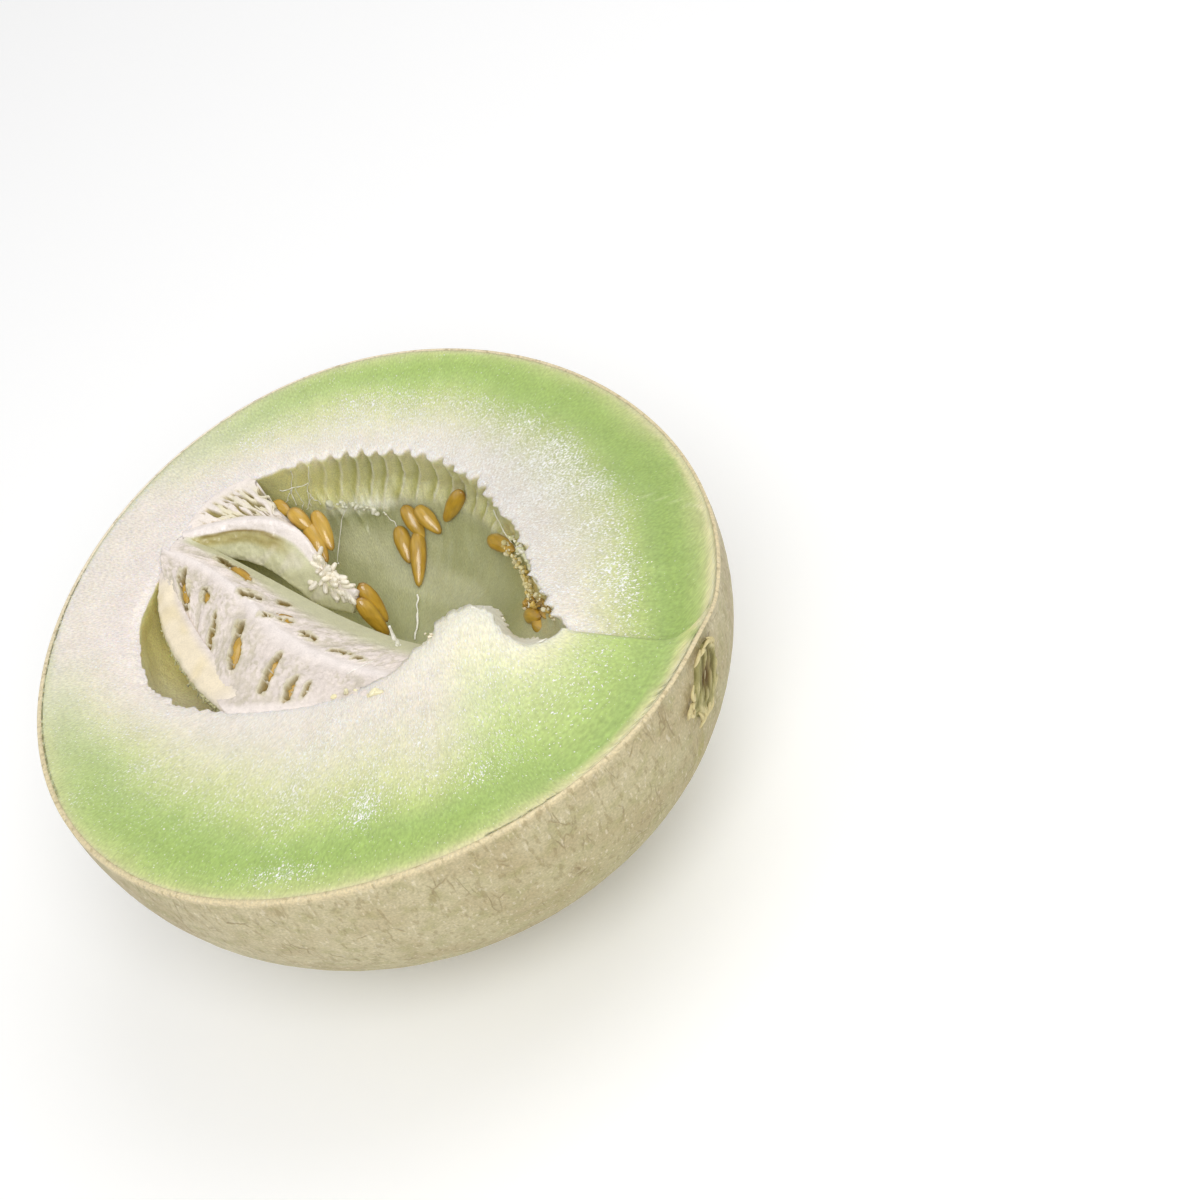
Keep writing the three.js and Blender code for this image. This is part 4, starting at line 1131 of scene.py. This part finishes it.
def makeSponge(c, material):
    top = curveThrough(flap["top"])
    share = np.linspace(0, 1, 190)
    near = top(sponge["from"] + (sponge["to"] - sponge["from"]) * share)
    away = near[:, :2] - cavity["floor"]
    away /= np.linalg.norm(away, axis=1, keepdims=True)
    away = np.column_stack([away, np.zeros(len(away))])
    # it runs a little way over the face, then dips under it
    reach = -beyond(c["lip"], near) + 1.8
    part = np.linspace(0, 1, 100)
    d = -0.5 + (reach[:, None] + 0.5) * part
    rings = near[:, None] + away[:, None] * d[..., None]
    rise = np.interp(part, [0, 0.2, 0.42, 0.66, 1], [0, 0.2, 0.5, 0.85, 1])
    sunk = near[:, 2] - 1.4 - sponge["sunk"] * smooth(0.3, 1, share)
    rings[..., 2] = sunk[:, None] * (1 - rise) + 0.14 * rise - 0.9 * smooth(1.2, 0.1, reach[:, None] - d)
    # veils and holes drawn out away from the flap, with strands left between
    run = share[:, None] * 34 + 0.25 * d
    inside = smooth(0.12, 0.3, part) * smooth(0.86, 0.66, part) * smooth(0.15, 0.4, share)[:, None]
    veil = smooth(-0.1, 0.5, flatNoise(run / 1.7, d / 4, 101)) * inside
    hole = smooth(0.25, 0.5, flatNoise(run / 0.75, d / 1.5, 102)) * inside
    rings[..., 2] -= sponge["pit"] * (0.25 * veil + 0.8 * hole)
    rings[..., 2] += 0.22 * noiseAt(rings, 1.1, 103) * smooth(0, 0.1, part) * smooth(1, 0.85, part)
    # the far end is torn
    torn = 1.3 * noiseAt(rings * [1, 1, 0], 1.6, 104) * smooth(0.85, 1, share)[:, None]
    forward = np.cross([0, 0, 1.0], away)
    rings -= forward[:, None] * torn[..., None]
    colours = mix(sponge["colour"], sponge["veil"], np.clip(0.85 * veil, 0, 1))
    colours = mix(colours, sponge["hole"], np.clip(hole, 0, 1))
    colours = mix(colours, face["paleColour"], smooth(3, 1, reach[:, None] - d))
    feet = np.stack([near + away * (reach - 1.8)[:, None], near + away * -0.5], 1)
    feet[:, 0, 2], feet[:, 1, 2] = sponge["bottom"], sponge["bottom"] + 5
    footColours = evenColour(sponge["colour"], feet.shape)
    rings, colours = np.concatenate([rings, feet], 1), np.concatenate([colours, footColours], 1)
    return makeLoft("pulp_sponge", rings, material, "pulp", colours)


strip = {
    "outer": [
        [-62.6, 8.6, -0.4], [-60.5, 1, -1.1], [-55, -8.6, -1.8], [-46.4, -17.8, -2], [-37.3, -25.2, -1.8],
        [-25, -33, -0.6],
    ],
    "inner": [
        [-56.6, 10.6, -0.4], [-53.4, 0.9, -0.8], [-46.6, -6.9, -1.1], [-38.2, -14.4, -1.3],
        [-29.4, -21.6, -1],
        [-18.9, -29.2, -0.2],
    ],
    "thickness": 5, "tooth": 0.16, "strands": 90, "colour": [240, 226, 198], "edgeColour": [236, 226, 202],
    "shadeColour": [228, 211, 166], "fringe": [226, 222, 176],
}


def makeStrip(material):
    outer, inner = curveThrough(strip["outer"]), curveThrough(strip["inner"])
    s = np.linspace(0, 1, 340)
    a, b = outer(s), inner(s)
    away = (a - b) * [1, 1, 0]
    away /= np.linalg.norm(away, axis=1, keepdims=True)
    tooth = strip["tooth"] * (flatNoise(s * 26, s * 0, 111) + 0.5 * flatNoise(s * 80, s * 0, 112))
    edge = a + away * tooth[:, None]
    w = np.linspace(0, 1, 34)
    top = edge[:, None] * (1 - w[None, :, None]) + b[:, None] * w[None, :, None]
    top[..., 2] += 0.8 * np.sin(np.pi * w) ** 0.8
    top[..., 2] -= 0.5 * bell(w, 0.06)
    fuzzy = smooth(0.62, 1, w)[None, :] + smooth(0.16, 0.02, s)[:, None]
    top[..., 2] += 0.16 * noiseAt(top, 2.4, 113) + 0.16 * noiseAt(top, 0.7, 115) * np.clip(fuzzy, 0, 1)
    ending = smooth(0.8, 1, s)[:, None]
    top[..., 2] -= 1.1 * smooth(0.88, 1, s)[:, None]
    up = np.array([0, 0, 1.0])
    side = [b - up * strip["thickness"], a - up * (strip["thickness"] + 1)]
    for depth, rag in ((3.6, 1.1), (2.4, 0.8), (1.2, 0.25)):
        frayed = rag * (0.5 * flatNoise(s * 70, s * 0 + depth, 116) - 0.1)
        side.append(edge - up * depth + away * frayed[:, None])
    sides = np.stack(side, 1)
    colours = mix(strip["colour"], strip["edgeColour"], np.broadcast_to(bell(w, 0.1), top.shape[:2]))
    colours = mix(colours, strip["shadeColour"], 0.45 * smooth(0.1, 0.8, noiseAt(top, 4, 114)))
    colours = mix(colours, lobe["colour"], np.clip(fuzzy, 0, 1))
    colours = mix(colours, face["paleColour"], ending + 0 * w)
    sideColours = evenColour(strip["fringe"], sides.shape)
    rings, colours = np.concatenate([top, sides], 1), np.concatenate([colours, sideColours], 1)
    made = makeLoft("pulp_strip", rings, material, "pulp", colours)
    # torn strands hang from its outer edge
    rng = np.random.RandomState(12)
    tubes, tints = [], []
    for share in np.linspace(0.2, 0.92, strip["strands"]):
        index = int(share * (len(s) - 1))
        root = edge[index] - up * rng.uniform(1.5, 4)
        aim = away[index] * rng.uniform(0.1, 0.5) - up * rng.uniform(0.7, 1) + 0.2 * rng.randn(3)
        length = rng.uniform(0.8, 2.0)
        steps = np.linspace(0, 1, 6)[:, None]
        tubes.append((root + aim * length * (steps - 0.2) + 0.3 * rng.randn(3) * steps**2,
            0.3 * np.linspace(1.3, 0.5, 6)))
        tints.append(np.array(strip["fringe"], float) * rng.uniform(0.85, 1))
    makeTubes("strip_strands", tubes, tints, 6, material, "pulp")
    return made


seed = {
    "width": 4.1, "thickness": 2.3, "facing": [0.4, -0.5, 0.75],
    "colour": [190, 148, 42], "edge": [132, 92, 22], "light": [218, 182, 84], "inLobe": 17, "sunk": 0.75,
    "narrow": 0.84,
    # each lies between two points, its blunt end first
    "places": [
        [[-15.2, 45.4, -17.1], [-10, 40.2, -23.8]], [[-11.7, 45.4, -17.3], [-5.1, 41.1, -22.5]],
        [[-17.3, 42.4, -21.6], [-13.3, 34.8, -27.2]], [[3.4, 45.8, -10.7], [-3.8, 43, -20.1]],
        [[29.3, 13.7, -16.4], [36.4, 9.7, -11.7]], [[29.5, 15.4, -15.6], [31.1, 17.1, -13.8]],
        [[36.7, 12.5, -11.1], [38.8, 8.6, -10.9]], [[33.3, 10.1, -14.1], [40.5, 6.5, -13.3]],
        [[-11.7, 41.8, -22], [-9.9, 29.6, -29.8]], [[10.7, 37.3, -18.2], [21.6, 30.8, -14.4]],
        [[-32.6, 25, -4.9], [-25.8, 19.7, -9.5]], [[-31, 28.6, -4.1], [-24.6, 21.2, -10.5]],
        [[-29.6, 31.8, -3.4], [-23.9, 24.2, -9.5]], [[-35, 30, -1.1], [-29, 27, -5.5]],
        [[-43.3, 34.7, -5], [-37.4, 32.3, -6]], [[-14.8, 13.4, -13.6], [-8.9, 10.2, -24]],
        [[-14.8, 16.7, -11.9], [-9.5, 13, -22.2]], [[-32.9, -8.3, -1.4], [-31.5, -18.3, -1.5]],
        [[-19.9, -15, -1.1], [-21.9, -24.4, -1.4]], [[-12.8, -20.5, -0.8], [-13.3, -28.2, -1.1]],
        [[-8.5, -21.6, -0.7], [-8.1, -26.3, -0.9]], [[-54.3, 6.4, -1.3], [-52.2, 0.5, -1.7]],
        [[-47.7, 3.9, -1.1], [-45.7, -0.1, -1.5]], [[-45.7, 12.6, -3], [-37.9, 9, -3.6]],
        [[-29.3, -1.9, -2.2], [-18.6, -2.8, -3]],
    ],
}


def makeSeeds(material):
    latitudes, around = 22, 26
    v = np.linspace(-0.5, 0.5, latitudes + 2)[1:-1]
    a = np.linspace(0, 2 * np.pi, around, endpoint=False)
    points, faces, colours, grains = [], [], [], []
    start = 0
    rng = np.random.RandomState(8)
    for index, (blunt, tip) in enumerate(seed["places"]):
        blunt, tip = np.array(blunt, float), np.array(tip, float)
        # those in the lobe are smaller and lie deeper
        hidden = index >= seed["inLobe"]
        blunt, tip = blunt - [0, 0, seed["sunk"] * hidden], tip - [0, 0, seed["sunk"] * hidden]
        length = np.linalg.norm(tip - blunt)
        y = (tip - blunt) / length
        x = np.cross(y, seed["facing"])
        x /= np.linalg.norm(x)
        z = np.cross(x, y)
        bulk = min(1, 0.45 + length / 14) * (seed["narrow"] if hidden else 1)
        radius = np.sqrt(np.clip(1 - (2 * v) ** 2, 0, 1)) * (1 - 0.5 * v) / 2
        flatten = 1 - 0.25 * np.abs(np.cos(a)) ** 3
        px = radius[:, None] * np.cos(a) * seed["width"] * bulk
        pz = radius[:, None] * np.sin(a) * flatten * seed["thickness"] * bulk
        py = v[:, None] * length + 0 * px
        local = np.stack([px, py, pz], -1)
        local = local + 0.06 * noiseAt(local + index * 9, 1.5, 121)[..., None]
        ends = np.array([[0, -length / 2, 0], [0, length / 2, 0]])
        local = np.concatenate([local.reshape(-1, 3), ends])
        world = (blunt + tip) / 2 + local @ np.stack([x, y, z])
        count = latitudes * around
        for f in ringFaces(latitudes, around, count, count + 1):
            faces.append([start + k for k in f])
        rim = np.concatenate([np.broadcast_to(np.abs(np.cos(a)) ** 6, (latitudes, around)).ravel(), [0.8, 1]])
        ending = np.concatenate([np.repeat(smooth(0.3, 0.5, np.abs(v)), around), [1, 1]])
        tint = mix(seed["colour"], seed["edge"], np.clip(0.85 * rim + 0.5 * ending, 0, 1))
        tint = mix(tint, seed["light"],
            np.clip(0.5 * rng.rand() + 0.4 * noiseAt(local + index * 7, 2.2, 122), 0, 0.8))
        points.append(world)
        colours.append(tint)
        grains.append(local * [1, 0.25, 1] / 1000 + index * 0.013)
        start += count + 2
    return makePiece("seeds", np.concatenate(points), faces, material, None,
        np.concatenate(colours), {"grain": np.concatenate(grains)})


bits = {
    # amber tissue and torn crumbs: a path, how many, their sizes from and to, their colours
    "amberTissue": [
        [[18.1, 32.7, -14.2], [21.4, 29.4, -15.7], [25.8, 24.7, -15.1], [29, 19.8, -14.4],
            [30.8, 15.8, -13.2]],
        120, 0.6, 1.7, [[234, 222, 168], [214, 190, 112], [238, 230, 190]],
    ],
    "amberCrumbs": [
        [[29.6, 15.3, -14.7], [37.2, 11.8, -9.6], [43.2, 5.8, -5.6]],
        70, 0.8, 2.3, [[190, 150, 60], [214, 182, 96], [150, 116, 46], [242, 232, 200]],
    ],
    "rightNodules": [
        [[23.2, 29.9, -7], [30, 22.5, -4.5], [35.5, 17, -3], [39, 11.6, -2.6], [44, 6.4, -2.4]],
        60, 0.9, 2.3, [[238, 234, 206], [230, 228, 186], [244, 240, 222]],
    ],
    "ledgeFlakes": [
        [[-34.6, 43, -15.2], [-29.5, 43.8, -15.8], [-24.5, 43.8, -17.4], [-20.3, 43.8, -18.6]],
        24, 0.8, 2.4, [[236, 236, 214], [244, 242, 226]],
    ],
    "tongueCrumbs": [
        [[18.6, -7.6, 3.9], [20.4, -9.4, 3.7], [23.4, -11, 3.6], [21, -13.4, 3.4]],
        9, 0.7, 1.5, [[250, 244, 226], [244, 232, 206]],
    ],
    "lipFlakes": [
        [[-0.8, -26.1, 0.9], [4.4, -24.2, 1.2], [8.6, -24.4, 1.5], [12.2, -25.3, 1.7]],
        12, 1.2, 2.6, [[244, 236, 196], [240, 230, 184]],
    ],
    "notchCrumbs": [
        [[27.4, 2.6, -0.6], [30.6, 2.4, -2.2], [32.6, 0.6, -3.4]],
        12, 0.9, 2.2, [[246, 238, 216], [236, 222, 190]],
    ],
}


# Small uneven lumps scattered along a path.
def makeBits(name, path, count, smallest, largest, tints, material):
    along = curveThrough(path)
    rng = np.random.RandomState(len(name) * 7)
    turns, levels = 14, 9
    v = np.linspace(-0.5, 0.5, levels + 2)[1:-1]
    a = np.linspace(0, 2 * np.pi, turns, endpoint=False)
    radius = np.sqrt(1 - (2 * v) ** 2) / 2
    ball = np.stack([radius[:, None] * np.cos(a), radius[:, None] * np.sin(a), v[:, None] + 0 * a], -1)
    ball = np.concatenate([ball.reshape(-1, 3), [[0, 0, -0.5], [0, 0, 0.5]]])
    ballFaces = ringFaces(levels, turns, levels * turns, levels * turns + 1)
    points, faces, colours = [], [], []
    for i in range(count):
        size = smallest + (largest - smallest) * rng.rand() ** 1.6
        shape = ball * np.array([1, rng.uniform(0.5, 0.9), rng.uniform(0.45, 0.8)]) * size
        turn = np.linalg.qr(rng.randn(3, 3))[0]
        turn[:, 0] *= np.linalg.det(turn)
        shape = shape * (1 + 0.5 * noiseAt(shape + i * 5, size * 0.35, 141))[..., None]
        place = along([(i + rng.rand()) / count])[0] + 0.45 * rng.randn(3)
        points.append(shape @ turn.T + place)
        first = i * len(ball)
        faces += [[first + k for k in f] for f in ballFaces]
        tint = np.array(tints[rng.randint(len(tints))], float) * rng.uniform(0.94, 1.04)
        colours.append(np.tile(tint, (len(ball), 1)))
    return makePiece(name, np.concatenate(points), faces, material, None, np.concatenate(colours))


threads = {
    # each fine strand's points and its thickness
    "places": [
        [[[-39.5, 43.2, -1.4], [-40.4, 42.6, -4.5], [-42.4, 42, -9], [-41.6, 40.4, -12.6]], 0.22],
        [[[-35.6, 44.4, -1.8], [-36.8, 43.6, -6.4], [-39, 43.6, -11], [-38.9, 41.6, -14.6]], 0.2],
        [[[-44.5, 40.6, -7.4], [-41.2, 42, -7.8], [-37.9, 44, -8.2]], 0.22],
        [[[-42.2, 42.2, -8.6], [-44.8, 40, -12.4]], 0.18],
        [[[-41.2, 42.2, -8], [-40.6, 41.6, -12.8], [-41.8, 39.6, -15]], 0.18],
        [[[-39.2, 43.2, -10.6], [-36.4, 42.6, -14.6]], 0.2],
        [[[-38.4, 43, -12.2], [-40.2, 41, -15.2]], 0.17],
        [[[-30.6, 42.4, -16.6], [-31.8, 39, -20.6], [-31, 33, -22], [-24.6, 24.4, -14.6],
            [-20, 19.2, -7.8]], 0.2],
        [[[-9.7, 28, -30.2], [-8.9, 23.6, -31.2], [-7.6, 19, -32], [-6.8, 15.7, -32.3]], 0.5],
        [[[7.2, -6, -6.4], [7.4, -6.2, -3.2], [8, -6.6, 3.4]], 0.8],
        [[[7.2, -6.2, -4.9], [6.2, -9.6, -3.2], [4.4, -13.4, -1.4], [0.6, -18.6, 0.6]], 0.22],
        [[[-20.6, 44, -18.2], [-17.4, 41.8, -22], [-15.2, 36.8, -26]], 0.22],
        [[[14.4, 39.6, -10.6], [18.6, 34.4, -14.2], [21.6, 31.4, -14.8]], 0.22],
    ],
    "colour": [252, 250, 240],
}


def makeThreads(material):
    tubes, tints = [], []
    for index, (path, width) in enumerate(threads["places"]):
        steps = np.linspace(0, 1, 9 * len(path))
        line = curveThrough(path)(steps)
        line = (line + 0.3
            * np.stack([flatNoise(steps * 9, steps * 0 + index, k) for k in (151, 152, 153)], -1))
        widths = 1.25 * width / 2 * (0.8 + 0.35 * flatNoise(steps * 12, steps * 0 + index, 154))
        tubes.append((line, widths))
        tints.append(threads["colour"])
    return makeTubes("pulp_threads", tubes, tints, 8, material, None)


scar = {
    "y": -6.4, "belowCut": 10, "dent": 1.8, "dentRadius": 20,
    # half of its length, which slants up the rind, and half of its width
    "long": 8.9, "short": 6.8, "core": [0.8, 1.6],
    "colour": [154, 147, 92], "dark": [92, 70, 26], "groove": [118, 111, 60], "ridge": [208, 197, 148],
    "flake": [214, 200, 148],
    # curled flakes of its skin: steps along it and across it, from its middle
    "flakes": [
        [[8.2, -1.5], [9.4, 0.2], [8.8, 2.0], [7.4, 2.4]], [[7.2, -3.4], [8.4, -2.4], [8.2, -1.2]],
        [[-3.6, -6.8], [-4.8, -8], [-5.8, -6.8], [-4.8, -5.2]], [[-2.2, -6], [-3.2, -7.4], [-4.4, -6.4]],
        [[-6.2, 3.0], [-8.2, 1.2], [-9.8, -0.6]], [[-6.6, -3.0], [-8.2, -1.8], [-9.6, -0.8]],
        [[8.8, -3.0], [7.6, -5.0], [5.8, -6.0]], [[10.2, 0.6], [9.0, 2.8], [7.2, 4.2]],
        [[1.6, -6.4], [-0.2, -7.8], [-1.8, -6.9], [-0.8, -5.6]], [[-2.4, -7.4], [-4.4, -9.2], [-6.0, -8.4]],
        [[-5.8, -0.8], [-8.6, -0.2], [-11.2, -1.4]], [[-5.2, 4.4], [-7.6, 3.4], [-9.4, 1.6]],
    ],
}


# A point of the scar, on the rind at these steps along and across it, raised by a lift.
def onScar(along, across, lift=0.0):
    y, z = scar["y"] + 0.5 * along + 0.87 * across, -scar["belowCut"] + 0.87 * along - 0.5 * across
    k = fullness(80)
    w = 1 - (y / (melon["halfWidth"] * k)) ** 2 - ((z - middleLevel) / (melon["halfDepth"] * k)) ** 2
    x = melon["halfLength"] * np.sqrt(np.clip(w, 0, 1))
    return np.stack([x * (1 - scarDent(x, y, z)) + lift, y, z], -1)


def makeScar(material):
    r = np.linspace(0.02, 1.25, 60)[:, None]
    a = np.linspace(0, 2 * np.pi, 130, endpoint=False)[None, :]
    wide = (1 + 0.16 * flatNoise(a * 1.6 + 0 * r, 0 * a + 0 * r, 134)
        * smooth(0, 0.6, np.minimum(a, 2 * np.pi - a)) - 0.12 * np.sin(a) ** 4)
    along, across = r * scar["long"] * wide * np.cos(a), r * scar["short"] * wide * np.sin(a)
    p = onScar(along, across)
    # fibres run along it round a dark core, inside a torn pale margin
    fibre = flatNoise(across * 1.5, along * 0.28, 131) + 0.5 * flatNoise(across * 3, along * 0.5, 132)
    core = bell((across - scar["core"][0]) / 2.1, 1) * bell((along - scar["core"][1]) / 3.4, 1)
    margin = bell(r - 0.9, 0.1) * smooth(-0.3, 0.3, noiseAt(p, 2.2, 133))
    height = 0.7 + 0.4 * fibre * smooth(1.1, 0.8, r) - 0.9 * core + 0.5 * margin - 1.9 * smooth(0.92, 1.22, r)
    p[..., 0] += height
    colours = mix(scar["colour"], scar["groove"], smooth(0, -0.5, fibre))
    colours = mix(colours, scar["ridge"], 0.7 * smooth(0.2, 0.8, fibre))
    colours = mix(colours, scar["dark"], np.clip(1.5 * core * (0.5 + 0.5 * smooth(0.6, -0.3, fibre)), 0, 1))
    colours = mix(colours, scar["ridge"], np.clip(margin, 0, 1))
    p[..., 2] = np.minimum(p[..., 2], -1.4)
    back = p[-1:] - [1.5, 0, 0]
    rings = np.concatenate([p, back])
    colours = np.concatenate([colours, colours[-1:]])
    makeLoft("stem_scar", rings, material, "flesh_and_rind", colours)
    tubes, tints = [], []
    for places in scar["flakes"]:
        steps = np.linspace(0, 1, 14)
        line = curveThrough(places)(steps)
        tubes.append((onScar(line[:, 0], line[:, 1], 0.5 + 0.5 * np.sin(np.pi * steps)),
            0.5 * np.sin(np.pi * (0.12 + 0.76 * steps))))
        tints.append(scar["flake"])
    makeTubes("stem_flakes", tubes, tints, 7, material, "flesh_and_rind")


studio = {
    "floor": [253, 253, 253], "floorGlow": 0.08, "world": 0.48,
    # each light: where it stands, its size, its power
    "lights": [
        [[220, 420, 900], 800, 2.75], [[-620, -380, 560], 800, 1.0], [[330, -400, 720], 420, 3.1],
    ],
}


def addLight(place, size, power):
    lamp = bpy.data.lights.new("soft_light", "AREA")
    lamp.shape = "DISK"
    lamp.size = size / 1000
    lamp.energy = power
    made = bpy.data.objects.new("soft_light", lamp)
    made.location = Vector(place) / 1000
    aim = Vector((0, 0, 0.06)) - made.location
    made.rotation_euler = aim.to_track_quat("-Z", "Y").to_euler()
    bpy.context.scene.collection.objects.link(made)


def makeStudio():
    mesh = bpy.data.meshes.new("floor")
    half = 4.0
    mesh.from_pydata([(-half, -half, 0), (half, -half, 0), (half, half, 0), (-half, half, 0)], [],
        [(0, 1, 2, 3)])
    white = plainMaterial("floor", studio["floor"], 0.8)
    shader = white.node_tree.nodes["Principled BSDF"]
    shader.inputs["Emission Color"].default_value = (1, 1, 1, 1)
    shader.inputs["Emission Strength"].default_value = studio["floorGlow"]
    mesh.materials.append(white)
    floor = bpy.data.objects.new("floor", mesh)
    bpy.context.scene.collection.objects.link(floor)
    for place, size, power in studio["lights"]:
        addLight(place, size, power)
    world = bpy.data.worlds.new("studio")
    world.use_nodes = True
    background = world.node_tree.nodes["Background"]
    background.inputs["Color"].default_value = (1, 1, 1, 1)
    background.inputs["Strength"].default_value = studio["world"]
    bpy.context.scene.world = world
    bpy.context.scene.view_settings.view_transform = "Standard"


camera = {
    "azimuth": 36.961, "elevation": 47.324, "roll": -25.709, "target": [56.156, 6.936, 0], "distance": 680,
    "lens": 89.536,
}


def makeCamera():
    az, el, roll = [math.radians(camera[key]) for key in ("azimuth", "elevation", "roll")]
    back = Vector((math.cos(el) * math.sin(az), -math.cos(el) * math.cos(az), math.sin(el)))
    level = Vector((math.cos(az), math.sin(az), 0))
    up = back.cross(level)
    right = math.cos(roll) * level + math.sin(roll) * up
    over = -math.sin(roll) * level + math.cos(roll) * up
    target = Vector(camera["target"]) + Vector((0, 0, cutLevel))
    lens = bpy.data.cameras.new("camera")
    lens.lens = camera["lens"]
    lens.sensor_width = 36
    lens.clip_end = 20
    made = bpy.data.objects.new("camera", lens)
    turn = Matrix((right, over, back)).transposed().to_4x4()
    turn.translation = (target + back * camera["distance"]) / 1000
    made.matrix_world = turn
    bpy.context.scene.collection.objects.link(made)
    bpy.context.scene.camera = made


makeCamera()
makeStudio()
columns = makeColumns()
makeFlesh(columns)
makeRind(columns)
soft = pulpMaterial("pulp", 0.5, 0.15, 0.15)
wetPulp = pulpMaterial("wet_pulp", 0.35, 0.4, 0.12)
makeLobe(columns, soft)
makeFlap(wetPulp)
makeSponge(columns, soft)
makeStrip(wetPulp)
makeSeeds(seedMaterial())
makeThreads(wetPulp)
for name in bits:
    makeBits(name, *bits[name], wetPulp)
makeScar(pulpMaterial("cork", 0.75, 0.0, 0.3))
makePetal(wetPulp)
